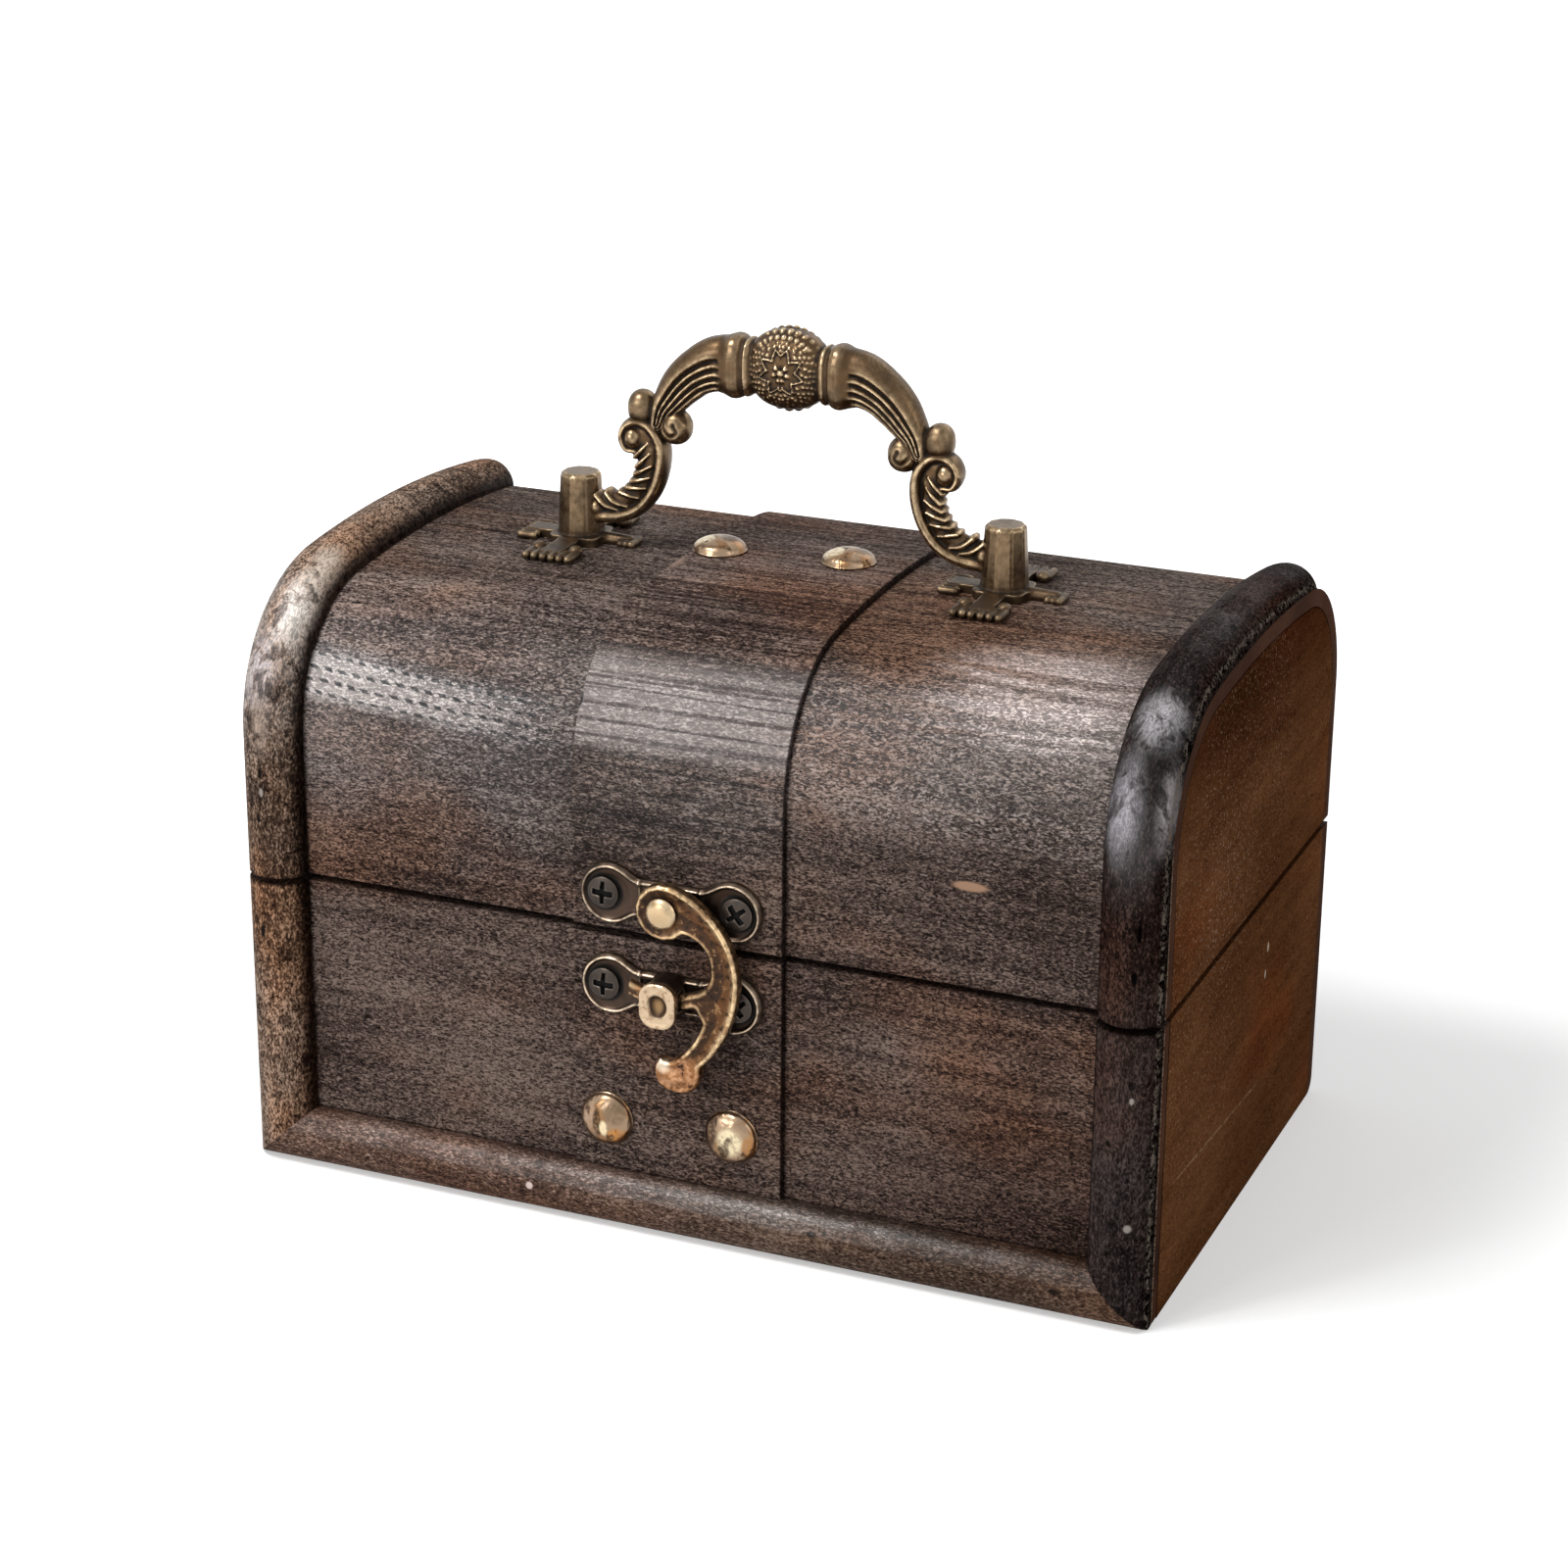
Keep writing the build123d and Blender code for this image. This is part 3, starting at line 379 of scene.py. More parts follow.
def sheet_ends(wood):
    """The thin boards' ends at the sides are stained as the end boards are, with chipped corners."""
    x, y, _ = wood.xyz
    grain = wood.blotch + 0.3 * (wood.wrinkle - 0.5)
    side = wood.colours(grain, [(0.3, END.dark), (0.5, END.mid), (0.75, END.light)])
    end = x.size().between(0.07975, 0.0799)
    wood.satin = wood.satin * (1.0 - end)
    wood.paint(wood.times(side, (0.42, 0.38, 0.42)), end)
    corner = (y + (PANEL_FACE - 0.3) * MM).size().until(0.0, 0.0004) * end
    wood.paint((0.26, 0.19, 0.14), corner * wood.wrinkle.between(0.46, 0.56))


def front_board(wood):
    """The front and the lid: tones, painted shade towards the lower right, painted light on the lid's top and
    left side, growth lines, rows of painted sheen and painted glare on the lid's shoulder.
    """
    x, y, z = wood.xyz
    board_joints(wood)
    # Painted shade: the front darkens towards its lower right.
    wood.stain((0.62, 0.52, 0.48), z.until(0.008, 0.05) * x.between(0.01, 0.06))
    wood.paint((0.33, 0.2, 0.13), wood.near((47.9, -PANEL_FACE, 69.7), 2.2, (0.6, 1, 2.2)))
    front = y.until(-0.03, -0.02)
    left = x.until(-0.035, -0.01)
    # Painted light: the lid's top and its left side are lightened and cooled.
    wood.stain((1.22, 1.3, 1.33), z.between(0.096, 0.1))
    wood.stain((1.22, 1.36, 1.5), left * z.between(0.053, 0.06) * front)
    bend = wood.noise((14, 90, 90), 2, 0.5, (9, 3, 2), 0.2)
    rings = (bend * 75.0 + z * 900.0).sine().between(0.75, 0.95) * z.between(0.086, 0.091)
    wood.stain((0.3, 0.26, 0.25), rings * wood.wrinkle.between(0.42, 0.55, 1.0, 0.4))
    fall = z + 0.06 * x
    above = left * front * fall.between(0.0868, 0.089)
    wood.stain((1.14, 1.06, 1.0), above)
    # Rows of painted sheen on the left shoulder; their mask also raises the varnish.
    pale = painted_sheen_rows(wood, fall, front)
    # Painted glare: a pale highlight laid into the colour on the lid's right shoulder.
    glare = wood.near((55.0, -34.0, 96.5), 26.0, (1, 1.2, 2.6), 0.3)
    streaks = (z * 2600.0 + 30.0 * bend).sine().between(-0.6, 0.6, 0.35, 1.0)
    wood.paint((0.85, 0.72, 0.68), glare * streaks * (0.25 + 0.75 * wood.worms) * 0.95)
    shoulder = z.between(0.066, 0.08) * front
    wood.satin = wood.satin * (1.0 + 0.6 * left * shoulder) * (1.0 - 0.6 * above) + pale
    sheet_ends(wood)


def strap_board(wood):
    """The strap: growth lines on its upper half, a painted lighter top, a painted pale sheen with dark gaps
    on the shoulder, a crack.
    """
    x, y, z = wood.xyz
    lines = wood.noise((6, 420, 420), 2, 0.5, (3, 1, 8), 0.35)
    rings = lines.until(0.49, 0.54) * lines.between(0.42, 0.49) * z.between(0.058, 0.074)
    wood.stain((0.3, 0.26, 0.25), rings * 0.85)
    wood.height = wood.height - 0.5 * rings
    # Painted light: the strap's top is lightened and cooled.
    wood.stain((1.4, 1.45, 1.5), z.between(0.096, 0.1))
    shoulder = z.between(0.082, 0.086) * z.until(0.094, 0.098) * y.until(-0.03, -0.02)
    gaps = (z * 2900.0 + 11.0 * lines).sine().between(0.55, 0.9)
    # Painted sheen on the shoulder, broken by dark gaps.
    wood.paint((0.5, 0.44, 0.42), shoulder * (0.45 + 0.55 * wood.worms) * 0.75)
    wood.stain((0.2, 0.17, 0.17), shoulder * gaps * 0.8)
    wood.shade_edge((x - STRAP_RIGHT * MM).size(), 0.0003, 0.9)
    wood.stain((0.03, 0.03, 0.03), wood.blob((-19.6, -44.6, 89.8), (0.45, 2.5, 1.7)))
    wood.shade_seam(0.0005)
    wood.paint((0.3, 0.21, 0.16), wood.near((-21.0, -8.7, 102.6), 3.4, (1, 0.7, 0.5)) * 0.7)


def sheet_joint(wood):
    """Distance to the line inside the lid's bent sheet: round at the shoulders, flatter over the crown."""
    _, y, z = wood.xyz
    across = (y.size() - SHOULDER_RUN * MM).most(0.0)
    up = z - SHOULDER_Z * MM
    above = z - CROWN_Z * MM
    shoulder = (across * across + up * up).math("SQRT") - (SHOULDER_RADIUS - SKIN) * MM
    crown = (y * y + above * above).math("SQRT") - (CROWN_RADIUS - SKIN) * MM
    on_crown = y.size().until(CROWN_EDGE_Y * MM - 0.0005, CROWN_EDGE_Y * MM + 0.0005)
    return shoulder.size() * (1.0 - on_crown) + crown.size() * on_crown


def end_board(wood):
    """An end board: painted glints and bars, the bent sheet's joint, and on the right a scratch and two
    chips.
    """
    x, y, z = wood.xyz
    glints = wood.noise((1400, 1400, 1800), 1, 0.5, (2, 4, 1)).between(0.6, 0.7)
    high = wood.near((END_FACE, -6.0, 78.0), 34.0, (1, 1.0, 0.8))
    middle = high + wood.near((END_FACE, -28.0, 50.0), 24.0, (1, 0.8, 0.5))
    wood.stain((0.5, 0.42, 0.38), z.between(0.07, 0.1))
    # Painted glints: pale specks laid into the colour in the board's middle.
    wood.paint((0.24, 0.13, 0.06), glints * middle.least(1.0) * 0.4)
    wood.stain((0.6, 0.55, 0.5), wood.noise((40, 30, 300), 2, 0.6, (1, 5, 2)).between(0.45, 0.7) * 0.4)
    wood.shade_seam(0.0004)
    panel_joint = (y + (PANEL_FACE - SKIN) * MM).size() + z.between(0.07, 0.078) * 0.01
    wood.shade_edge(panel_joint, 0.0004, 0.9)
    wood.shade_edge(sheet_joint(wood) + z.between(0.074, 0.078, 0.01, 0.0), 0.00045, 0.95)
    for spot, radius in (((END_FACE, 11.8, 41.8), 0.8), ((END_FACE, 10.9, 37.2), 0.7)):
        wood.paint((0.45, 0.36, 0.28), wood.near(spot, radius, (1, 1.4, 0.7)))
    scratch = (z - 0.0197 + 0.07 * (y + 0.02)).size().until(0.0001, 0.00035)
    scratch = scratch * y.between(-0.04, -0.036) * y.until(0.004, 0.012) * x.between(0.0, 0.01)
    wood.paint((0.24, 0.14, 0.08), scratch * wood.wrinkle.between(0.42, 0.55))
    wood.satin = glints * middle * 0.5


def on_moulding(line, spot):
    """Whether a spot lies on this moulding: bottom, left or right."""
    if spot[2] < BOTTOM_MOULDING_TOP:
        return line == "bottom"
    return line == ("left" if spot[0] < 0 else "right")


def mark_moulding(wood, line, mottle):
    """The nail holes, pale chips and painted highlights (partly polished rubs) that lie on a moulding."""
    for spot, reach, depth in MOULDING_MARKS:
        if on_moulding(line, spot):
            mark = wood.blob(spot, reach)
            wood.stain((0.03, 0.027, 0.027), mark * depth)
            wood.height = wood.height - 2.5 * mark
    for spot, reach in PALE_MARKS:
        if on_moulding(line, spot):
            wood.paint((0.34, 0.3, 0.27), wood.blob(spot, reach) * 0.8)
    # Painted highlights, partly pale rubs, laid into the moulding's colour.
    for spot, radius, stretch, tone in PAINTED_HIGHLIGHTS_AND_RUBS:
        if on_moulding(line, spot):
            rub = wood.near(spot, radius, stretch, 0.0) * mottle.between(0.36, 0.52, 0.25, 1.0)
            rub = rub * (0.55 + 0.45 * wood.wrinkle.between(0.42, 0.56))
            wood.paint(tone, rub * 0.85)


def rubbed(line):
    """Wear and painted light for a moulding: pale and smooth along its crown, dark along its sides with dirt
    and painted shade, painted highlights, with its nail holes.
    """
    def dress(wood):
        x, _, z = wood.xyz
        crown = z - BOTTOM_MOULDING_Z * MM if line == "bottom" else x.size() - MOULDING_X * MM
        away = crown.size()
        patch = wood.noise((55, 55, 55), 3, 0.6, (7, 2, 5))
        mottle = wood.noise((300, 420, 230), 3, 0.6, (3, 8, 1), 0.8)
        if line == "left":
            inner = x - LEFT_SHADE_X * MM
            # Pale along the crown: rubbed wear, and partly a painted highlight.
            worn = away.until(0.0008, 0.0036) * patch.between(0.4, 0.62)
            wood.paint(wood.times(wood.colour, (1.7, 1.5, 1.35)), worn * 0.8)
            wood.stain((0.2, 0.18, 0.19), mottle.until(0.36, 0.46) * 0.8)
            # Painted shade on the left moulding's inner side.
            wood.stain((0.3, 0.26, 0.25), inner.between(0.0, 0.0022))
        wood.shade_edge((MOULDING_HALF * MM - away).size(), 0.0012, 0.85)
        if line != "bottom":
            wood.shade_seam()
        dents = wood.noise((110, 110, 110), 1, 0.5, (2, 9, 4))
        wood.height = 0.5 * wood.height + 1.6 * dents.between(0.3, 0.62) + 0.9 * mottle
        mark_moulding(wood, line, mottle)
        if line == "bottom":
            wood.stain((2.1, 1.95, 1.98), x.until(-0.03, 0.02))
            wood.satin = 0.04 + z.between(0.006, 0.0072) * 0.5
        elif line == "left":
            upper = z.between(0.072, 0.088) * z.until(0.099, 0.1035)
            outer = inner.between(0.0, 0.0018, 1.0, 0.15)
            wood.satin = (0.05 + 0.8 * upper) * mottle.between(0.38, 0.55, 0.25, 1.0) * outer
        else:
            flank = (x - RIGHT_DARK_X * MM).until(0.0, 0.0016)
            patchy = patch.between(0.38, 0.56, 0.3, 1.0) * mottle.between(0.36, 0.5, 0.5, 1.0)
            sheen = z.between(0.07, 0.088) * z.between(0.094, 0.099, 1.0, 0.15)
            wood.satin = (0.04 + 0.7 * sheen) * patchy * flank
            chips = (x - 0.0797).size().until(0.0, 0.0004) * wood.wrinkle.between(0.46, 0.58)
            wood.paint((0.13, 0.105, 0.085), chips)
    return dress


def make_woods():
    return {
        "board": stained_wood("stained_front_board", 0, BOARD, 1.0, BOARD_LOOK, front_board),
        "strap": stained_wood("stained_strap", 0, BOARD, 1.0, BOARD_LOOK, strap_board),
        "end": stained_wood("stained_end_board", 1, END, 3.1, END_LOOK, end_board),
        "bottom": stained_wood("rubbed_bottom_moulding", 0, BOTTOM_TRIM, 4.2, BOTTOM_LOOK, rubbed("bottom")),
        "left": stained_wood("rubbed_left_moulding", ARCH, BROWN_TRIM, 5.4, BROWN_LOOK, rubbed("left")),
        "right": stained_wood("black_right_moulding", ARCH, BLACK_TRIM, 6.6, BLACK_LOOK, rubbed("right")),
        "bare": stained_wood("bare_inner_wood", 0, BARE, 7.1, BARE_LOOK),
    }


# Metal

def aged_metal(name, bright, mid, patina, rough, worn=None, wear=None):
    """Plated metal: dark in its hollows, bright along its edges, mottled between."""
    metal = Finish(name)
    mottle = metal.noise((900, 900, 900), 3, 0.6)
    cloud = metal.noise((260, 260, 260), 3, 0.6, (4, 2, 7))
    edge = metal.attribute("edge")
    metal.colour = metal.over(mid, bright, edge * (0.4 + 0.6 * mottle.between(0.35, 0.6)))
    if worn:
        metal.paint(worn, cloud.between(0.54, 0.7) * mottle.between(0.35, 0.6) * 0.8)
    dirt = (1.3 * metal.attribute("hollow") + 0.35 * cloud.between(0.48, 0.7)).least(1.0)
    metal.paint(patina, dirt)
    if wear:
        wear(metal, edge, mottle)
    grain = metal.noise((2600, 2600, 2600), 2, 0.6)
    return metal.done({
        "Base Color": metal.colour,
        "Metallic": 1.0 - 0.35 * dirt,
        "Roughness": rough + 0.22 * (mottle - 0.5) + 0.3 * dirt - 0.1 * edge,
        "Normal": metal.bump(0.6 * mottle + 0.4 * grain, 0.00005, 0.6),
    })


def hook_wear(metal, edge, mottle):
    """A mottled face; the hook's thumb end is worn to orange, with dark specks and a painted highlight on its
    upper side.
    """
    face = 1.0 - edge.between(0.3, 0.7)
    metal.paint((0.014, 0.009, 0.006), mottle.until(0.36, 0.46) * face * 0.75)
    metal.paint((0.36, 0.2, 0.095), mottle.between(0.56, 0.68) * face * 0.6)
    tan = metal.over((0.27, 0.12, 0.05), (0.46, 0.25, 0.13), mottle.between(0.48, 0.62))
    tan = metal.over(tan, (0.03, 0.015, 0.01), mottle.until(0.36, 0.43))
    # A painted highlight on the upper side of the thumb end.
    tan = metal.over(tan, (0.85, 0.72, 0.55), metal.near((-1.9, -53.3, 32.4), 1.7, core=0.2) * 0.8)
    metal.paint(tan, metal.near((0.3, -53.0, 29.2), 6.6, core=0.7) * 0.9)


def staple_wear(metal, edge, mottle):
    """The staple's face is rubbed smooth and pale around a brown dimple."""
    middle = (LATCH_X, -56.0, LOWER_PLATE_Z)
    oval = (1 / 0.85, 0.2, 1 / 1.15)
    face = metal.near(middle, 4.6, (1, 1.2, 0.85), 0.85)
    rim = metal.over((0.56, 0.42, 0.28), (0.3, 0.19, 0.11), mottle.between(0.5, 0.7))
    metal.paint(rim, face * edge.between(0.3, 0.6))
    metal.paint((0.035, 0.018, 0.009), metal.near(middle, 2.1, oval, 0.7) * face)
    metal.paint((0.3, 0.18, 0.085), metal.near(middle, 1.6, oval, 0.2) * face)


# Painted reflections, pale and dark, and brown and orange patches on the dome nails: place, reach in
# millimetres, tone.
DOME_REFLECTIONS_AND_PATCHES = (
    ((-16.6, -50.5, 19.6), (1.9, 3, 3.4), (0.42, 0.29, 0.2)),
    ((-14.9, -51.0, 18.8), (0.95, 3, 3.2), (0.05, 0.03, 0.018)),
    ((-13.7, -51.0, 17.9), (0.9, 3, 1.7), (0.9, 0.75, 0.48)),
    ((-11.8, -50.5, 20.6), (2.4, 3, 2.4), (0.19, 0.13, 0.08)),
    ((-11.6, -50.5, 16.6), (1.9, 3, 1.9), (0.5, 0.22, 0.06)),
    ((8.9, -51.0, 19.6), (2.7, 3, 3.0), (0.82, 0.7, 0.46)),
    ((5.2, -50.0, 20.6), (2.0, 3, 3.6), (0.06, 0.035, 0.025)),
    ((12.0, -50.0, 18.6), (1.4, 3, 3.2), (0.4, 0.19, 0.065)),
    ((-17.4, -1.0, 104.0), (2.2, 2.4, 3), (0.85, 0.74, 0.52)),
    ((-13.6, 0.8, 104.0), (2.0, 2.6, 3), (0.07, 0.045, 0.028)),
    ((5.2, 1.2, 104.0), (2.4, 2.4, 3), (0.85, 0.74, 0.52)),
    ((9.4, 3.2, 104.0), (1.8, 2.6, 3), (0.12, 0.08, 0.045)),
)


def dome_brass():
    """Thin bright plating over dented domes, smeared dark and worn to orange in patches, under painted
    reflections, pale and dark.
    """
    metal = Finish("polished_dome_brass")
    dents = metal.noise((300, 300, 300), 2, 0.5, (2, 5, 1), 0.5)
    fine = metal.noise((1500, 1500, 1500), 2, 0.6)
    smear = metal.noise((480, 480, 200), 2, 0.55, (6.3, 1, 3), 0.5)
    metal.colour = metal.over((0.33, 0.23, 0.15), (0.27, 0.14, 0.06), dents.between(0.5, 0.62) * 0.8)
    ragged = fine.between(0.35, 0.55, 0.4, 1.0)
    # Painted reflections, pale and dark, among brown and orange patches.
    for spot, reach, tone in DOME_REFLECTIONS_AND_PATCHES:
        metal.paint(tone, metal.blob(spot, reach) * ragged * 0.9)
    dark = (smear.between(0.58, 0.64) * ragged + metal.attribute("hollow")).least(1.0)
    metal.paint((0.035, 0.02, 0.012), dark * 0.85)
    return metal.done({
        "Base Color": metal.colour,
        "Metallic": 1.0,
        "Roughness": 0.28 + 0.25 * dark,
        "Normal": metal.bump(dents + 0.12 * fine, 0.0006, 0.6),
    })


def make_metals():
    return {
        "brass": aged_metal(
            "aged_cast_brass", (0.66, 0.49, 0.3), (0.09, 0.054, 0.028), (0.009, 0.0055, 0.0035), 0.32),
        "bronze": aged_metal(
            "aged_hook_bronze", (0.9, 0.66, 0.38), (0.115, 0.053, 0.024), (0.012, 0.007, 0.005), 0.36,
            (0.4, 0.18, 0.065), hook_wear),
        "plate": aged_metal(
            "aged_plate_bronze", (0.76, 0.59, 0.43), (0.056, 0.036, 0.026), (0.007, 0.006, 0.005), 0.36,
            wear=staple_wear),
        "rivet": aged_metal(
            "rubbed_rivet_bronze", (0.9, 0.76, 0.54), (0.5, 0.36, 0.21), (0.06, 0.04, 0.025), 0.33,
            (0.34, 0.22, 0.1)),
        "dome": dome_brass(),
        "black": aged_metal(
            "blackened_screws", (0.22, 0.185, 0.155), (0.055, 0.044, 0.037), (0.002, 0.0017, 0.0015), 0.42),
        "steel": aged_metal(
            "dull_nail_steel", (0.5, 0.46, 0.42), (0.22, 0.2, 0.19), (0.04, 0.03, 0.025), 0.45),
    }


# Clay kit

def soft_least(a, b, blend):
    """The smaller of two distances, with a fillet of about this radius."""
    mix = np.maximum(blend - np.abs(a - b), 0) / blend
    return np.minimum(a, b) - mix * mix * blend * 0.25


class Clay:
    """A block of clay: signed distances on a grid, in millimetres, that forms are added to or cut from."""

    def __init__(self, low, high, step):
        self.low, self.step = np.array(low, float), step
        self.axes = [np.arange(a, b + step, step, dtype=np.float32) for a, b in zip(low, high)]
        self.field = np.full([len(axis) for axis in self.axes], 6.0, np.float32)

    def window(self, low, high):
        """The grid's cells within a box, and their coordinates."""
        cuts = []
        for axis, a, b in zip(self.axes, low, high):
            first, last = np.searchsorted(axis, a - 0.8), np.searchsorted(axis, b + 0.8)
            cuts.append(slice(int(first), max(int(last), int(first) + 1)))
        grid = np.meshgrid(*[axis[cut] for axis, cut in zip(self.axes, cuts)], indexing="ij", sparse=True)
        return tuple(cuts), grid

    def add(self, form, low, high, blend=0.3):
        cuts, (x, y, z) = self.window(low, high)
        self.field[cuts] = soft_least(self.field[cuts], form(x, y, z), blend)

    def cut(self, form, low, high, blend=0.2):
        cuts, (x, y, z) = self.window(low, high)
        self.field[cuts] = -soft_least(-self.field[cuts], form(x, y, z), blend)

    def ball(self, centre, radii, blend=0.3):
        radii = np.broadcast_to(np.array(radii, float), 3)
        low, high = np.array(centre) - radii, np.array(centre) + radii

        def form(x, y, z):
            parts = [((c - m) / r) ** 2 for c, m, r in zip((x, y, z), centre, radii)]
            return (np.sqrt(parts[0] + parts[1] + parts[2]) - 1) * radii.min()

        self.add(form, low, high, blend)

    def rod(self, start, stop, radius, blend=0.3, end_radius=None, cut=False):
        """A round rod between two points, tapering to its end radius."""
        a, b = np.array(start, float), np.array(stop, float)
        last = radius if end_radius is None else end_radius
        reach = max(radius, last)

        def form(x, y, z):
            line = b - a
            t = ((x - a[0]) * line[0] + (y - a[1]) * line[1] + (z - a[2]) * line[2]) / (line @ line)
            t = np.clip(t, 0, 1)
            gap = ((x - a[0] - t * line[0]) ** 2 + (y - a[1] - t * line[1]) ** 2
                   + (z - a[2] - t * line[2]) ** 2)
            return np.sqrt(gap) - (radius + (last - radius) * t)

        (self.cut if cut else self.add)(form, np.minimum(a, b) - reach, np.maximum(a, b) + reach, blend)

    def skin(self):
        """The closed surface where the distances cross zero, as points and quads."""
        f = self.field
        size = f.shape
        cells = tuple(n - 1 for n in size)
        inside = f < 0
        corners = [(i, j, k) for i in (0, 1) for j in (0, 1) for k in (0, 1)]
        count = np.zeros(cells, np.uint8)
        for i, j, k in corners:
            count += inside[i:i + cells[0], j:j + cells[1], k:k + cells[2]]
        spots = np.argwhere((count > 0) & (count < 8))
        number = np.full(cells, -1, np.int32)
        number[tuple(spots.T)] = np.arange(len(spots))
        total = np.zeros((len(spots), 3))
        hits = np.zeros(len(spots))
        for a in corners:
            for axis in range(3):
                if a[axis]:
                    continue
                b = tuple(1 if i == axis else a[i] for i in range(3))
                va = f[tuple((spots + a).T)]
                vb = f[tuple((spots + b).T)]
                crossed = (va < 0) != (vb < 0)
                t = np.where(crossed, va / np.where(crossed, va - vb, 1), 0)
                point = np.array(a, float)[None, :].repeat(len(spots), 0)
                point[:, axis] += t
                total += point * crossed[:, None]
                hits += crossed
        points = self.low + (spots + total / hits[:, None]) * self.step
        quads = []
        for axis in range(3):
            u, v = (axis + 1) % 3, (axis + 2) % 3
            first = [slice(None)] * 3
            second = [slice(None)] * 3
            first[axis], second[axis] = slice(0, -1), slice(1, None)
            start, stop = inside[tuple(first)], inside[tuple(second)]
            edges = np.argwhere(start != stop)
            edges = edges[(edges[:, u] > 0) & (edges[:, v] > 0)]
            edges = edges[(edges[:, u] < cells[u]) & (edges[:, v] < cells[v])]
            leaving = start[tuple(edges.T)]
            ring = []
            for du, dv in ((-1, -1), (0, -1), (0, 0), (-1, 0)):
                cell = edges.copy()
                cell[:, u] += du
                cell[:, v] += dv
                ring.append(number[tuple(cell.T)])
            ring = np.stack(ring, 1)
            ring[~leaving] = ring[~leaving][:, ::-1]
            quads.append(ring)
        return points, np.concatenate(quads)


def smooth_line(stations, count):
    """Points along a smooth line through the stations, with whatever else each station carries."""
    rows = np.array(stations, float)
    padded = np.vstack([2 * rows[0] - rows[1], rows, 2 * rows[-1] - rows[-2]])
    out = []
    for t in np.linspace(0, len(rows) - 1 - 1e-6, count):
        i = int(t)
        f = t - i
        a, b, c, d = padded[i:i + 4]
        out.append(0.5 * (2 * b + (c - a) * f + (2 * a - 5 * b + 4 * c - d) * f * f
                          + (3 * b - a - 3 * c + d) * f ** 3))
    return np.array(out)


def beside(x, z, line):
    """For each point of a plane: the nearest place on a line (0 to 1) and the signed distance to its left."""
    px, pz = np.broadcast_arrays(x, z)
    flat = np.stack([px.ravel(), pz.ravel()], 1)
    steps = np.gradient(line[:, :2], axis=0)
    best = np.full(len(flat), 1e9)
    place = np.zeros(len(flat), int)
    for i, (lx, lz) in enumerate(line[:, :2]):
        gap = (flat[:, 0] - lx) ** 2 + (flat[:, 1] - lz) ** 2
        closer = gap < best
        best[closer] = gap[closer]
        place[closer] = i
    ahead = steps[place]
    off = flat - line[place, :2]
    side = np.sign(ahead[:, 0] * off[:, 1] - ahead[:, 1] * off[:, 0])
    return place.reshape(px.shape), (np.sqrt(best) * np.where(side == 0, 1, side)).reshape(px.shape)


def ribbon(clay, stations, carve=None, power=2.0, blend=0.3, count=140):
    """A bar that follows a line in the plane of X and Z. A station is X, Z, half width and half depth."""
    line = smooth_line(stations, count)
    low = (line[:, 0] - line[:, 2]).min(), -line[:, 3].max(), (line[:, 1] - line[:, 2]).min()
    high = (line[:, 0] + line[:, 2]).max(), line[:, 3].max(), (line[:, 1] + line[:, 2]).max()

    def form(x, y, z):
        place, off = beside(x[:, 0], z[:, 0], line)
        wide, deep = line[place, 2], line[place, 3]
        if carve:
            deep = deep * carve(place / (count - 1), off / wide)
        wide, deep, off = wide[:, None, :], deep[:, None, :], off[:, None, :]
        ratio = (np.abs(off / wide) ** power + np.abs(y / deep) ** power) ** (1 / power)
        return ((ratio - 1) * np.minimum(wide, deep)).astype(np.float32)

    clay.add(form, low, high, blend)


def relief(clay, x0, z0, width, height, depth, carve=None, power=2.2, blend=0.3):
    """A round boss with both faces domed. carve scales its half depth over the plane."""
    def form(x, y, z):
        deep = depth * carve(x - x0, z - z0) if carve else depth
        ratio = (np.abs((x - x0) / width) ** power + np.abs((z - z0) / height) ** power
                 + np.abs(y / deep) ** power) ** (1 / power)
        return ((ratio - 1) * min(width, height, depth)).astype(np.float32)

    clay.add(form, (x0 - width, -depth * 1.3, z0 - height), (x0 + width, depth * 1.3, z0 + height), blend)


# Meshes and pieces

def blank(name, points, faces, material=None):
    """A new piece from points in millimetres and faces."""
    mesh = bpy.data.meshes.new(name)
    faces = faces.tolist() if isinstance(faces, np.ndarray) else faces
    mesh.from_pydata((np.array(points) * MM).tolist(), [], faces)
    mesh.update()
    piece = bpy.data.objects.new(name, mesh)
    bpy.context.scene.collection.objects.link(piece)
    if material:
        mesh.materials.append(material)
    return piece


def age(piece, rounds=6, hollow_gain=1.0, edge_gain=1.0):
    """Stores how hollow and how proud each point is, for the metal's patina and rub marks."""
    mesh = piece.data
    count = len(mesh.vertices)
    points = np.empty(count * 3)
    mesh.vertices.foreach_get("co", points)
    points = points.reshape(-1, 3)
    normals = np.empty(count * 3)
    mesh.vertices.foreach_get("normal", normals)
    normals = normals.reshape(-1, 3)
    edges = np.empty(len(mesh.edges) * 2, int)
    mesh.edges.foreach_get("vertices", edges)
    edges = edges.reshape(-1, 2)
    ties = np.bincount(edges.ravel(), minlength=count)[:, None]
    flat = points.copy()
    for _ in range(rounds):
        total = np.zeros_like(flat)
        for i in range(3):
            total[:, i] = np.bincount(edges[:, 0], flat[edges[:, 1], i], count)
            total[:, i] += np.bincount(edges[:, 1], flat[edges[:, 0], i], count)
        flat = total / np.maximum(ties, 1)
    rise = ((points - flat) * normals).sum(1) / MM
    for name, value in (("hollow", -rise * 9 * hollow_gain), ("edge", rise * 9 * edge_gain)):
        layer = mesh.attributes.new(name, "FLOAT", "POINT")
        layer.data.foreach_set("value", np.clip(value - 0.12, 0, 1).astype(np.float32))


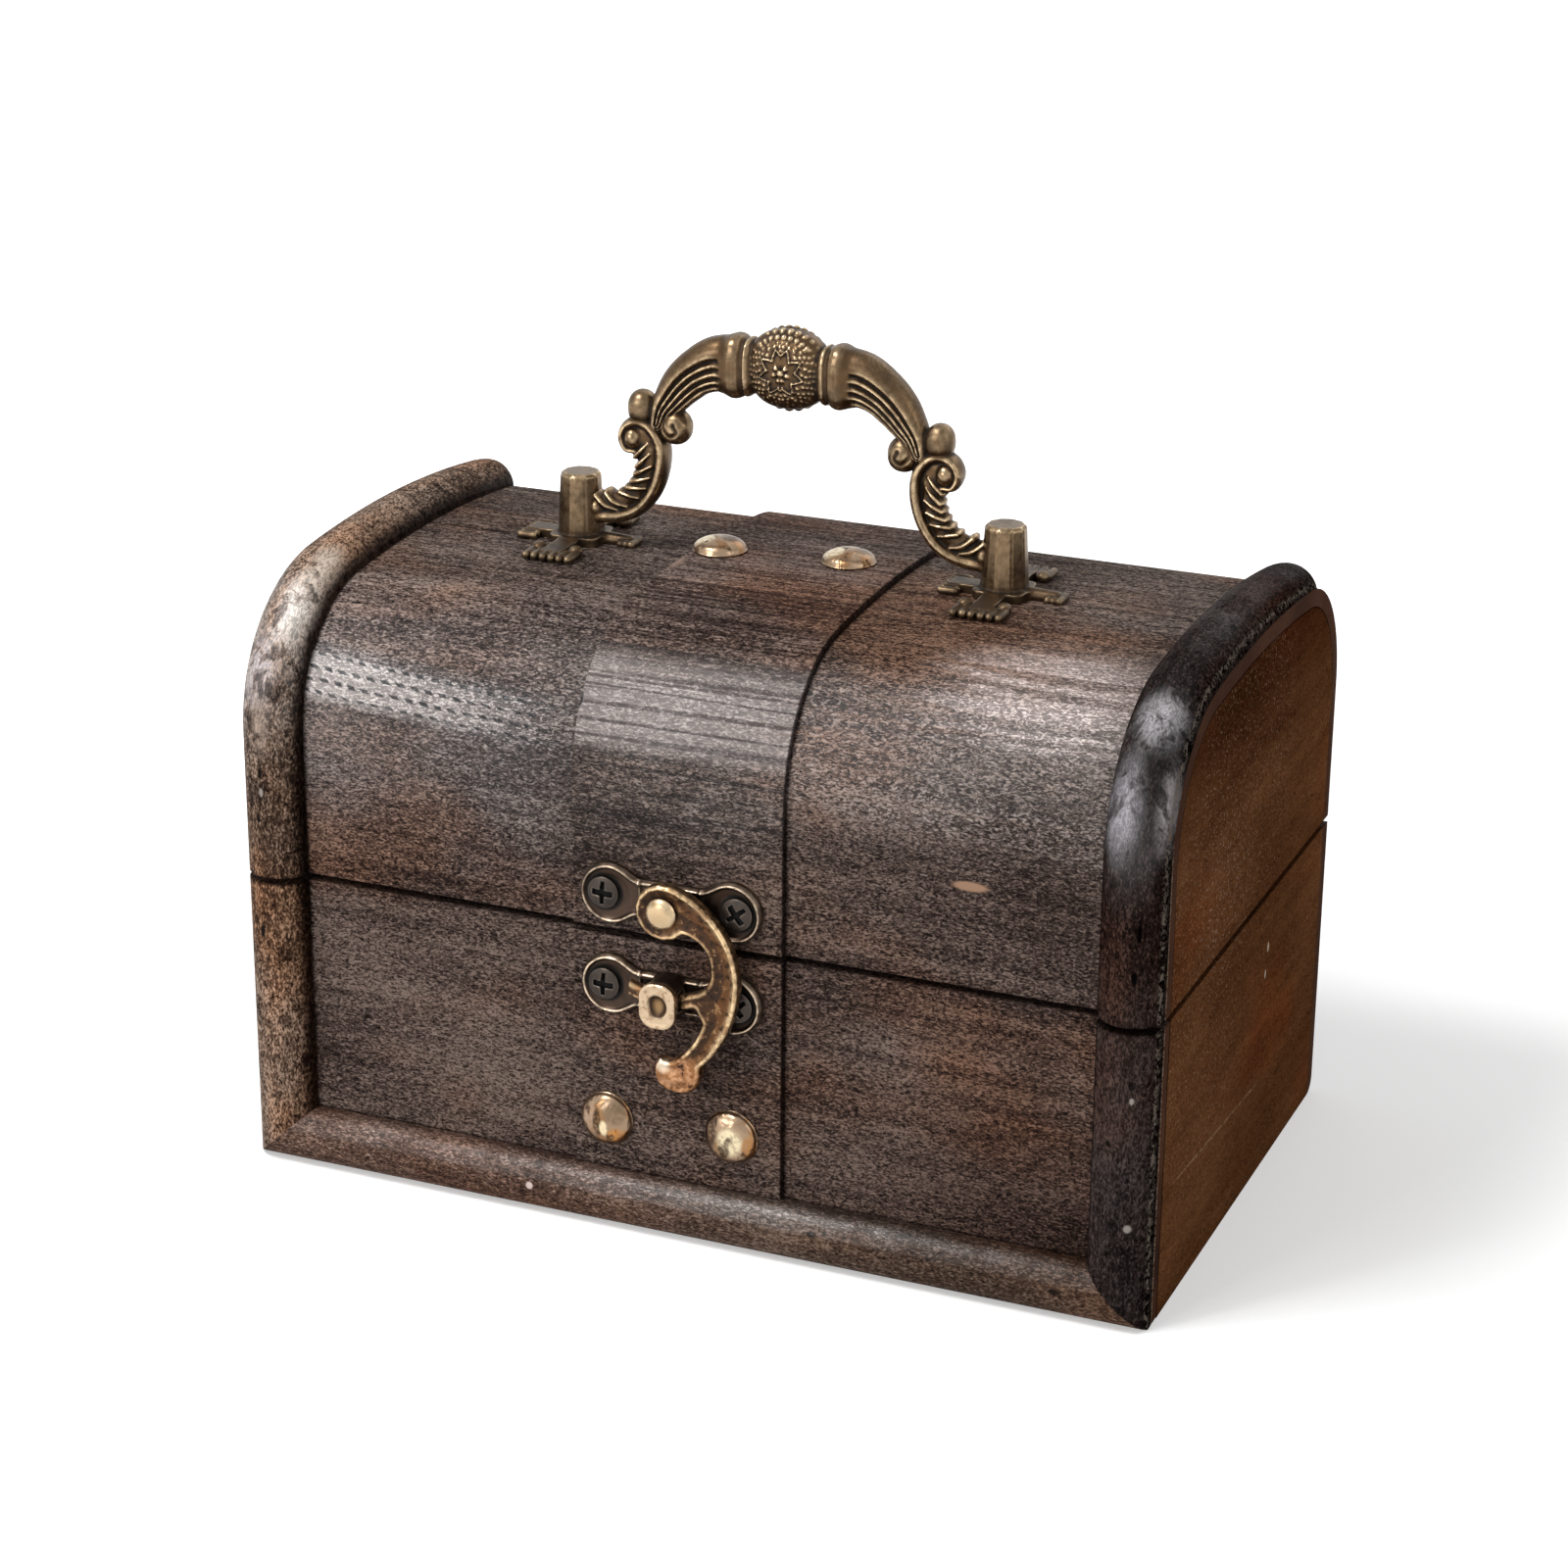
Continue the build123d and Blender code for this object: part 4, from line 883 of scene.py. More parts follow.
def smooth(piece, angle=None):
    flags = np.ones(len(piece.data.polygons), bool)
    piece.data.polygons.foreach_set("use_smooth", flags)
    if angle:
        piece.data.set_sharp_from_angle(angle=math.radians(angle))
    return piece


def cast(name, skin, at, material, rounds, hollow_gain=1.0, edge_gain=1.0):
    """A piece from a clay's skin, moved to its place, with its wear stored."""
    points, quads = skin
    piece = smooth(blank(name, points + at, quads, material))
    age(piece, rounds, hollow_gain, edge_gain)
    return piece


def turned(name, profile, sides, material=None):
    """A turned form that faces the front, from the radius and height of each of its rings."""
    points, faces = [], []
    for radius, height in profile:
        for i in range(sides):
            angle = 2 * math.pi * i / sides
            points.append((radius * math.cos(angle), -height, radius * math.sin(angle)))
    for ring in range(len(profile) - 1):
        for i in range(sides):
            j = (i + 1) % sides
            a, b = ring * sides, (ring + 1) * sides
            faces.append((a + i, a + j, b + j, b + i))
    last = (len(profile) - 1) * sides
    faces += [list(range(sides))[::-1], list(range(last, last + sides))]
    return smooth(blank(name, points, faces, material), 40)


def copies_tree(shape, material):
    """Geometry nodes that set one shape on every point, turned by the point's own angles."""
    group = Recipe(bpy.data.node_groups.new("copies_of_" + shape.name, "GeometryNodeTree"))
    face = group.tree.interface
    face.new_socket("Points", in_out="INPUT", socket_type="NodeSocketGeometry")
    inputs = {}
    for name, kind in (("Size", "Float"), ("Unevenness", "Float"), ("Seed", "Int")):
        inputs[name] = face.new_socket(name, in_out="INPUT", socket_type="NodeSocket" + kind).identifier
    face.new_socket("Copies", in_out="OUTPUT", socket_type="NodeSocketGeometry")
    points, size, uneven, seed = (group.node("NodeGroupInput", output=name) for name in ("Points", *inputs))
    turn = group.node("GeometryNodeInputNamedAttribute", {"data_type": "FLOAT_VECTOR"}, {"Name": "turn"})
    limits = {2: 1.0 - uneven, 3: 1.0 + uneven, "Seed": seed}
    placed = group.node("GeometryNodeInstanceOnPoints", {}, {
        "Points": points,
        "Instance": group.node("GeometryNodeObjectInfo", {}, {"Object": shape}, "Geometry"),
        "Rotation": group.node("FunctionNodeEulerToRotation", {}, {0: turn}),
        "Scale": group.node("FunctionNodeRandomValue", {}, limits, 1) * size,
    })
    real = group.node("GeometryNodeRealizeInstances", {}, {0: placed})
    coat = group.node("GeometryNodeSetMaterial", {}, {"Geometry": real, "Material": material})
    group.node("NodeGroupOutput", {}, {"Copies": coat})
    return group.tree, inputs.values()


def copies(name, shape, spots, material, size=1.0, uneven=0.0, seed=1):
    """One plain mesh with the shape set at every spot: a point in millimetres and angles in degrees."""
    carrier = blank(name + "_points", [spot for spot, _ in spots], [])
    layer = carrier.data.attributes.new("turn", "FLOAT_VECTOR", "POINT")
    for item, (_, turn) in zip(layer.data, spots):
        item.vector = [math.radians(a) for a in turn]
    tree, sockets = copies_tree(shape, material)
    modifier = carrier.modifiers.new("copies", "NODES")
    modifier.node_group = tree
    for socket, value in zip(sockets, (float(size), float(uneven), int(seed))):
        modifier[socket] = value
    graph = bpy.context.evaluated_depsgraph_get()
    mesh = bpy.data.meshes.new_from_object(carrier.evaluated_get(graph))
    mesh.name = name
    carrier.modifiers.clear()
    piece = bpy.data.objects.new(name, mesh)
    bpy.context.scene.collection.objects.link(piece)
    bpy.data.objects.remove(carrier)
    return piece


# The handle

def bell(value, width):
    """One at nothing, falling off on both sides."""
    return np.exp(-(value / width) ** 2)


def arm_flutes(place, side):
    """Four narrow grooves under a smooth rim; they fade in behind the cuff and run out at the knuckle."""
    fade = np.clip((place - 0.05) / 0.12, 0, 1)
    deep = sum(bell(side - c, 0.085) for c in (0.2, -0.12, -0.43, -0.72))
    return 1 - 0.25 * fade * deep + 0.05 * bell(side - 0.6, 0.25)


def star_relief(x, z):
    """The medallion's face: a flower inside an eight-pointed star, on grained ground."""
    r = np.sqrt(x * x + z * z)
    angle = np.arctan2(z, x) + 0.25
    point = 1 - np.abs((angle / (2 * math.pi) * 8) % 1 - 0.5) * 2
    outline = 3.95 - 1.55 * point ** 0.8
    star = bell(r - outline, 0.24)
    sunk = -0.06 * (r < outline) - 0.035 * bell(r - outline - 0.5, 0.3)
    petal = bell(r - 1.15, 0.42) * np.clip(0.5 + 0.9 * np.cos(6 * angle), 0, 1)
    button = np.clip(1 - (r / 0.62) ** 2, 0, 1) ** 0.5
    rng = np.random.default_rng(7)
    grain = np.zeros(np.broadcast(x, z).shape)
    for radius, count in ((3.75, 20), (4.45, 24), (5.05, 28), (5.65, 32), (6.2, 36)):
        for i in range(count):
            turn = 2 * math.pi * (i + rng.uniform(-0.3, 0.3)) / count
            size = rng.uniform(0.2, 0.3)
            away = np.sqrt((x - radius * math.cos(turn)) ** 2 + (z - radius * math.sin(turn)) ** 2)
            grain = np.maximum(grain, bell(away, size) * np.clip((r - outline) / 0.4, 0, 1))
    return 1 + sunk + 0.085 * star + 0.1 * petal + 0.12 * button + 0.085 * grain


def medallion_form(clay):
    """The medallion, with two rows of beads above it on each face and one row below."""
    relief(clay, 0, MEDALLION_Z, 7.3, 6.7, 4.3, star_relief, power=2.3)
    for first, last, count, radius, reach, y in (
        (38, 142, 10, 6.35, 0.72, 1.25), (46, 134, 9, 5.75, 0.5, 2.55), (226, 314, 7, 6.25, 0.98, 0.0),
    ):
        for i in range(count):
            angle = math.radians(first + (last - first) * i / (count - 1))
            for side in (-1, 1) if y else (1,):
                spot = (radius * 1.03 * math.cos(angle), side * y, MEDALLION_Z + radius * math.sin(angle))
                clay.ball(spot, reach, blend=0.12)


def cuff_form(clay):
    """The collar: a thin ridge, a groove, then a broad cushion that runs into the arm."""
    stations = np.array([
        (5.9, 0.8), (6.5, 0.92), (6.95, 0.95), (7.35, 0.86), (7.7, 0.86), (8.2, 0.98), (8.9, 1.03),
        (9.6, 1.03), (10.3, 0.98), (11.0, 0.9), (11.8, 0.8),
    ])

    def form(x, y, z):
        scale = np.interp(x, stations[:, 0], stations[:, 1])
        middle = 134.95 - 0.02 * (x - 8)
        ratio = (np.abs((z - middle) / (5.25 * scale)) ** 3 + np.abs(y / (3.75 * scale)) ** 3) ** (1 / 3)
        wall = np.maximum(5.9 - x, x - 11.6)
        return np.maximum((ratio - 1) * 3.4, wall).astype(np.float32)

    clay.add(form, (5.9, -4, 129), (11.8, 4, 141), 0.35)


def half_handle_form(clay):
    """The arm, its cuff, the scrolls at the knuckle and the ribbed leg, on the right side."""
    outer = [(9.0, 140.1), (13.5, 139.35), (17.5, 137.0), (20.6, 134.2), (22.8, 131.0), (24.2, 127.8),
             (24.7, 124.4)]
    inner = [(9.4, 129.7), (12.6, 130.0), (15.2, 129.2), (17.2, 127.6), (18.9, 126.0), (20.6, 124.6),
             (21.9, 122.8)]
    depth = [3.3, 3.2, 3.1, 2.95, 2.75, 2.5, 2.2]
    stations = []
    for (ox, oz), (ix, iz), deep in zip(outer, inner, depth):
        stations.append(((ox + ix) / 2, (oz + iz) / 2, math.dist((ox, oz), (ix, iz)) / 2, deep))
    ribbon(clay, stations, arm_flutes, power=2.5)
    cuff_form(clay)
    volute = smooth_line([(18.2, 124.6), (19.6, 126.1), (21.4, 125.4), (22.0, 123.4), (20.8, 121.9),
                          (19.6, 122.6), (20.0, 123.9)], 60)

    def curl(x, z):
        _, off = beside((x + 20.4)[:, 0], (z + 123.2)[:, 0], volute)
        return 1 - 0.11 * bell(off, 0.35)[:, None, :]

    relief(clay, 20.4, 123.2, 2.75, 3.0, 2.75, curl)
    relief(clay, 26.6, 125.9, 2.5, 3.1, 2.6)
    relief(clay, 28.0, 120.6, 1.75, 2.05, 2.5)
    rim = [
        (34.6, 106.1, 1.25, 2.0), (30.5, 106.7, 1.2, 2.2), (27.0, 108.4, 1.15, 2.3), (24.4, 111.6, 1.1, 2.3),
        (23.0, 115.6, 1.1, 2.3), (22.9, 119.4, 1.1, 2.3), (24.2, 122.2, 1.05, 2.3), (26.6, 123.6, 0.95, 2.2),
        (29.0, 122.9, 0.85, 2.1), (30.1, 120.8, 0.75, 2.0), (29.3, 118.7, 0.65, 1.9), (27.5, 118.4, 0.5, 1.8),
    ]
    ribbon(clay, rim, None, power=2.2, blend=0.2, count=200)
    relief(clay, 26.7, 120.4, 3.5, 3.1, 1.5)
    core = [(34.8, 108.0, 1.9, 1.6), (30.8, 108.9, 2.0, 1.5), (27.8, 111.2, 1.9, 1.5),
            (25.9, 115.0, 1.9, 1.5), (25.4, 119.0, 1.9, 1.6)]
    ribbon(clay, core, None, power=2.2, blend=0.25)
    middle = smooth_line([(26.4, 119.2), (26.0, 115.6), (27.3, 112.2), (30.0, 109.7), (33.4, 108.6)], 101)
    steps = np.gradient(middle, axis=0)
    lean, reach = math.radians(52), 1.75
    for at in (3, 15, 27, 39, 51, 64):
        (px, pz), (tx, tz) = middle[at], steps[at] / np.hypot(*steps[at])
        dx, dz = tx * math.cos(lean) - tz * math.sin(lean), tx * math.sin(lean) + tz * math.cos(lean)
        start, stop = (px - dx * reach, pz - dz * reach), (px + dx * reach, pz + dz * reach)
        mid = ((start[0] + stop[0]) / 2, (start[1] + stop[1]) / 2)
        line = [(*start, 0.42, 1.7), (*mid, 0.62, 2.15), (*stop, 0.6, 1.9)]
        ribbon(clay, line, None, power=2.0, blend=0.12, count=30)
    for start, mid, stop in (
        ((29.2, 108.6), (31.4, 109.2), (33.0, 110.5)), ((30.9, 107.8), (33.2, 108.5), (35.0, 109.9)),
    ):
        ribbon(clay, [(*start, 0.5, 1.8), (*mid, 0.8, 2.2), (*stop, 0.7, 1.9)], None, blend=0.12, count=30)
    clay.rod((34.0, 0, PIVOT_Z), (39.0, 0, PIVOT_Z), 1.5, 0.2)
    relief(clay, 34.9, PIVOT_Z, 1.5, 2.2, 2.1, blend=0.25)


def carry_handle(metals):
    """The casting: half of it is modelled, mirrored over the middle, and joined there."""
    clay = Clay((-0.17, -5.2, 103.8), (40.4, 5.2, 143.4), 0.17)
    half_handle_form(clay)
    medallion_form(clay)
    points, quads = clay.skin()
    quads = quads[points[quads].mean(1)[:, 0] > -0.02]
    points[:, 0] = np.where(np.abs(points[:, 0]) < 0.12, 0.0, points[:, 0])
    other = points * (-1, 1, 1)
    everything = np.vstack([points, other])
    faces = np.vstack([quads, quads[:, ::-1] + len(points)])
    everything[:, 0] += HANDLE_X
    handle = blank("cast_handle", everything, faces, metals["brass"])
    merge(handle, 0.02)
    smooth(handle)
    age(handle, 10)
    thin(handle, 0.6)
    return handle


def thin(piece, share):
    """Keeps a share of the faces: fewer where the surface is flattest."""
    modifier = piece.modifiers.new("fewer faces", "DECIMATE")
    modifier.ratio = share
    graph = bpy.context.evaluated_depsgraph_get()
    mesh = bpy.data.meshes.new_from_object(piece.evaluated_get(graph))
    piece.modifiers.clear()
    piece.data = mesh


def merge(piece, gap):
    """Joins points that lie closer than a gap in millimetres, and drops loose ones."""
    work = bmesh.new()
    work.from_mesh(piece.data)
    bmesh.ops.remove_doubles(work, verts=work.verts, dist=gap * MM)
    loose = [vert for vert in work.verts if not vert.link_faces]
    bmesh.ops.delete(work, geom=loose, context="VERTS")
    work.to_mesh(piece.data)
    work.free()
    piece.data.update()


# Posts

POST_SIDES = 10
POST_HALF = 4.0
POST_TOP = 113.5
FOOT_TOP = 102.9
FOOT_LOW = 100.6
LID_CROWN = 101.35


def crown_drop(y):
    """How far the lid's crown falls off at this distance from its middle."""
    return y * y / (2 * CROWN_RADIUS)


def post_form(clay):
    """A ten-sided post on a cross-shaped foot: toothed front and left ends, a plain right arm."""
    def column(x, y, z):
        angle = np.arctan2(y, x)
        sector = 2 * math.pi / POST_SIDES
        fold = np.abs((angle + sector / 2) % sector - sector / 2)
        r = np.sqrt(x * x + y * y)
        across = r * np.cos(fold)
        groove = 0.16 * bell(fold - sector / 2, 0.06)
        wall = across - (POST_HALF - 0.055 * (z - 102) - groove)
        top = z - POST_TOP
        slant = (across + top) * 0.7071 - 2.05
        return np.maximum(np.maximum(wall, top), np.maximum(slant, 100.2 - z)).astype(np.float32)

    clay.add(column, (-4.4, -4.4, 100), (4.4, 4.4, 113.6), 0.1)

    def bar(x0, x1, y0, y1, top, low=FOOT_LOW):
        def form(x, y, z):
            lift = z + crown_drop(y)
            wall = np.maximum(np.maximum(x0 - x, x - x1), np.maximum(y0 - y, y - y1))
            return np.maximum(wall, np.maximum(low - lift, lift - top)).astype(np.float32)
        clay.add(form, (x0, y0, low - 0.6), (x1, y1, top), 0.25)

    def disc(x, y, z):
        rim = np.sqrt(x * x + y * y) - 5.3 - 0.35 * np.cos(8 * np.arctan2(y, x))
        return np.maximum(rim, np.maximum(100.8 - z, z - FOOT_TOP)).astype(np.float32)

    clay.add(disc, (-6, -6, FOOT_LOW), (6, 6, 103), 0.3)
    bar(-9.2, 4, -1.9, 1.9, FOOT_TOP)
    bar(-1.9, 1.9, -12.2, 12.2, FOOT_TOP)
    clay.rod((4.5, 0, 102.0), (9.0, 0, 102.0), 1.35, 0.25, 1.1)
    for x in (8.0, 9.0, 10.0):
        clay.rod((x, -1.5, 101.9), (x, 1.5, 101.9), 0.72, 0.1)
    for end in (-1, 1):
        y = 12.1 * end
        drop = crown_drop(y)
        for i in range(6):
            x = -3.9 + 7.8 * i / 5
            clay.rod((x, y - 1.6, 102.2 - drop), (x, y + 1.6, 102.2 - drop), 0.68, 0.12)
        bar(-3.9, 3.9, y - 1.0, y + 1.0, 102.6, 101)
        for side in (-1, 1):
            clay.ball((side * 3.4, 9.4 * end, 102.2), (1.2, 1.3, 1.0), 0.2)
    for i in range(6):
        y = -3.7 + 7.4 * i / 5
        clay.rod((-9.8, y, 102.1), (-7.3, y, 102.1), 0.64, 0.12)
    bar(-9.4, -7.7, -3.7, 3.7, 102.5, 101)


def dull_feet(x, y, z, hollow, edge):
    """The feet are grimy: only some of their edges are rubbed bright."""
    foot = np.clip((104.0 - z) / 0.8, 0, 1)
    patches = 0.35 + 0.35 * np.sin(x * 1.7 + 1.0) * np.sin(y * 1.3)
    return np.maximum(hollow, 0.25 * foot), np.maximum(edge * (1 - foot * (1 - patches)), 0.2 * (1 - foot))


def handle_posts(metals):
    """Both posts are the same casting, cut hollow to the lid's crown underneath."""
    clay = Clay((-11.4, -14.6, 99.6), (11.6, 14.6, 114.2), 0.17)
    post_form(clay)

    def lid(x, y, z):
        return (z + crown_drop(y) - LID_CROWN).astype(np.float32)

    clay.cut(lid, (-11.5, -14.7, 99), (11.7, 14.7, 102), 0.05)
    skin = clay.skin()
    for side, node in ((-1, "handle_left_post"), (1, "handle_right_post")):
        spot = (HANDLE_X + side * POST_SPAN, 0, 0)
        post = cast(node.replace("handle", "cast"), skin, spot, metals["brass"], 8)
        repaint(post, (0, 0, 0), dull_feet)
        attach(post, "lid")
        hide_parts(node)


# Latch

def arc_points(start, middle, stop, count=10):
    """Points on the arc through three points, without its last one."""
    (ax, ay), (bx, by), (cx, cy) = start, middle, stop
    d = 2 * (ax * (by - cy) + bx * (cy - ay) + cx * (ay - by))
    a2, b2, c2 = ax * ax + ay * ay, bx * bx + by * by, cx * cx + cy * cy
    ux = (a2 * (by - cy) + b2 * (cy - ay) + c2 * (ay - by)) / d
    uy = (a2 * (cx - bx) + b2 * (ax - cx) + c2 * (bx - ax)) / d
    first = math.atan2(ay - uy, ax - ux)
    mid = (math.atan2(by - uy, bx - ux) - first) % (2 * math.pi)
    last = (math.atan2(cy - uy, cx - ux) - first) % (2 * math.pi)
    turn = last if mid < last else last - 2 * math.pi
    radius = math.hypot(ax - ux, ay - uy)
    angles = [first + turn * i / count for i in range(count)]
    return [(ux + radius * math.cos(angle), uy + radius * math.sin(angle)) for angle in angles]


def inside_outline(x, z, outline):
    """Signed distance to a closed outline: negative inside."""
    px, pz = np.broadcast_arrays(x, z)
    px, pz = px.ravel(), pz.ravel()
    best = np.full(len(px), 1e9)
    odd = np.zeros(len(px), bool)
    for (ax, az), (bx, bz) in zip(outline, outline[1:] + outline[:1]):
        ex, ez = bx - ax, bz - az
        t = np.clip(((px - ax) * ex + (pz - az) * ez) / (ex * ex + ez * ez + 1e-12), 0, 1)
        best = np.minimum(best, (px - ax - t * ex) ** 2 + (pz - az - t * ez) ** 2)
        crosses = (az > pz) != (bz > pz)
        if abs(ez) > 1e-9:
            odd ^= crosses & (px < ax + (pz - az) * ex / ez)
    away = np.sqrt(best)
    return np.where(odd, -away, away).reshape(np.broadcast(x, z).shape)


def around(radius, angle):
    """The point at a radius from the rivet, at an angle from straight below it."""
    return (-radius * math.sin(math.radians(angle)), -radius * math.cos(math.radians(angle)))


def hook_outline():
    """The ox-horn hook, about its rivet."""
    head, reach, drop = 4.8, 13.2, 10.8
    centre_x = ((head ** 2 - drop ** 2 + reach ** 2) / 2 - reach * head) / (reach - head)
    radius = reach - centre_x
    away = radius - head
    touch = (-centre_x / away * head, drop / away * head)
    upper = (centre_x + radius * math.cos(math.radians(36)), -drop + radius * math.sin(math.radians(36)))
    throat, belly = (3.6, -3.2), (reach, -drop)
    neck, web_end = (6.5, -26.1), around(FINGER_INNER, -21)
    heel, heel_mid = (7.0, -18.0), around(FINGER_OUTER, 2)
    tip_in, tip_out = around(FINGER_INNER, 29), around(FINGER_OUTER, 29)
    tip_end, root = around(FINGER_MIDDLE, 33.4), around(FINGER_OUTER, -20)
    heel_end = ((heel[0] + root[0]) / 2 + 0.01, (heel[1] + root[1]) / 2)
    runs = [
        (throat, (-head, 0), touch), (touch, upper, belly), (belly, (11.4, -19.0), neck),
        (neck, (6.1, -29.0), (4.9, -30.6)), ((4.9, -30.6), (2.2, -31.1), (-0.2, -30.4)),
        ((-0.2, -30.4), (-1.4, -28.6), (-0.5, -25.2)), ((-0.5, -25.2), (0.8, -25.7), (2.2, -25.1)),
        ((2.2, -25.1), (5.2, -21.8), heel), (heel, heel_end, root), (root, heel_mid, tip_out),
        (tip_out, tip_end, tip_in), (tip_in, around(FINGER_INNER, 4), web_end),
        (web_end, (7.8, -11.2), (8.4, -8.6)), ((8.4, -8.6), (7.2, -5.0), throat),
    ]
    return [point for run in runs for point in arc_points(*run)]


def latch_hook(metals):
    """The hook with its cast relief: a raised, rubbed rim with painted light, and a slightly sunk face."""
    outline = hook_outline()
    clay = Clay((-6.0, -3.6, -32.6), (14.6, 1.2, 6.2), 0.13)
    cuts, (x, y, z) = clay.window((-7, -4, -34), (16, 2, 7))
    edge = inside_outline(x[:, 0], z[:, 0], outline)[:, None, :]
    for _ in range(10):
        edge[1:-1] = (edge[:-2] + 2 * edge[1:-1] + edge[2:]) / 4
        edge[:, :, 1:-1] = (edge[:, :, :-2] + 2 * edge[:, :, 1:-1] + edge[:, :, 2:]) / 4
    hub = np.sqrt(x * x + z * z)
    tail = np.clip((-z - 24.0) / 4.5, 0, 1)
    finger = ((z < -12) & (x < 3.4) & (z > -19)).astype(np.float32)
    crown = 1.75 + 0.3 * bell(edge + 0.55, 0.42) - 0.22 * np.clip((-edge - 1.1) / 0.9, 0, 1) * (1 - tail)
    crown = crown + 0.75 * tail * np.clip(-edge / 2.4, 0, 1)
    crown = crown - 0.35 * finger
    front = -y - crown
    body = -soft_least(-edge, -front, 0.55)
    body = -soft_least(-body, -y, 0.25)
    body = -soft_least(-body, -(1.75 - hub), 0.15)
    clay.field[cuts] = body.astype(np.float32)
    hook = cast("swing_hook", clay.skin(), HOOK_ORIGIN, metals["bronze"], 24, 0.6, 1.1)

    def rub(x, y, z, hollow, edge):
        """Rubbed edges stay bright; rims that face right get a broad painted highlight, and the others stay
        thin and dull under painted shade.
        """
        away = inside_outline(x, z, outline)
        right = np.clip((inside_outline(x + 0.3, z, outline) - away) / 0.25, 0, 1) * (y < -0.8)
        head = np.clip((5.6 - np.hypot(x, z)) / 0.6, 0, 1)
        neck = np.clip(1.5 - np.hypot(x - 5.6, z + 23.4) / 3.4, 0, 1)
        gain = 0.42 + 0.35 * head + 0.55 * neck
        # Painted highlight on the rims that face right; painted shade on the other sides.
        rim = bell(away + 0.55, 0.5) * right * (1 - neck) * (z > -27)
        shade = np.clip(1.0 - edge * 3, 0, 1) * (1 - right) * 0.45
        bright = np.clip(np.maximum(edge * gain, 0.95 * rim), 0, 1)
        return np.maximum(hollow * (1 - rim), shade * (1 - rim)), bright

    repaint(hook, HOOK_ORIGIN, rub)
    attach(hook, "hook")
    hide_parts("latch_hook")


def plate_form(clay):
    """A latch plate: two lobes and a waist inside a rubbed rim, with a hole for each screw."""
    cuts, (x, y, z) = clay.window((-17, -2.4, -6.4), (17, 0.4, 6.4))
    lobe = np.minimum(np.hypot(x - LOBE_X, z), np.hypot(x + LOBE_X, z))
    waist = np.maximum(np.abs(x) - 8, np.abs(z) - 3.2)
    edge = soft_least(lobe - 5.2, waist, 1.5)
    crown = 0.95 + 0.62 * bell(edge + 0.55, 0.36) - 0.2 * np.clip((3.9 - lobe) / 1.0, 0, 1)
    crown = crown + 0.25 * np.clip(1 - np.abs(np.abs(x) - 5.4) / 0.5, 0, 1) * (np.abs(z) < 3.4)
    body = -soft_least(-edge, -(-y - crown), 0.35)
    body = np.maximum(body, y)
    for screw in (-PLATE_SCREW_X, PLATE_SCREW_X):
        body = np.maximum(body, 1.2 - np.hypot(x - screw, z))
    clay.field[cuts] = np.minimum(clay.field[cuts], body.astype(np.float32))


def repaint(piece, origin, change):
    """Rewrites the stored hollow and edge values of a piece by a function of its points."""
    mesh = piece.data
    points = np.empty(len(mesh.vertices) * 3)
    mesh.vertices.foreach_get("co", points)
    x, y, z = (points.reshape(-1, 3) / MM - origin).T
    stored = []
    for name in ("hollow", "edge"):
        values = np.empty(len(mesh.vertices), np.float32)
        mesh.attributes[name].data.foreach_get("value", values)
        stored.append(values)
    for name, values in zip(("hollow", "edge"), change(x, y, z, *stored)):
        mesh.attributes[name].data.foreach_set("value", values.astype(np.float32))


def darken_screw_seats(plate, middle):
    """Darkens the ring where each screw head meets the plate."""
    def change(x, y, z, hollow, edge):
        ring = bell(np.hypot(np.abs(x) - PLATE_SCREW_X, z) - 2.85, 0.4)
        return np.maximum(hollow, ring), edge * (1 - ring)

    repaint(plate, (LATCH_X, -STRAP_FACE, middle), change)


def polish_staple(plate):
    """The staple's proud rim is rubbed bright around its dark dimple."""
    def change(x, y, z, hollow, edge):
        front = np.clip((-y - 5.0) / 1.0, 0, 1)
        hole = np.clip((1.3 - np.hypot(x / 1.25, z / 1.65)) / 0.3, 0, 1)
        rim = front * (1 - hole)
        return np.maximum(hollow * (1 - front), front * hole * 0.5), np.maximum(edge * (1 - front), rim)

    repaint(plate, (LATCH_X, -STRAP_FACE, LOWER_PLATE_Z), change)


def staple_form(x, y, z):
    """The keeper's oval staple with its dimple."""
    reach = np.hypot(np.maximum(np.abs(x) - 0.55, 0), np.maximum(np.abs(z) - 1.3, 0)) - 2.65
    wall = reach + 0.25 * np.clip((6.0 + y) / 2, 0, 1)
    dimple = np.clip(1 - (np.hypot(x / 1.85, z / 2.0)) ** 3, 0, 1)
    front = -y - (6.85 - 0.25 * np.clip(-reach, 0, 1) - dimple)
    return -soft_least(-wall, -np.maximum(front, y), 0.7)


def staple_slot(x, y, z):
    """The staple's slot: a ring about the rivet, which the hook's finger slides through."""
    ring = np.abs(np.hypot(x, z - (RIVET_Z - LOWER_PLATE_Z)) - FINGER_MIDDLE) - 1.5
    return np.maximum(ring, np.abs(y + 3.45) - 1.25).astype(np.float32)


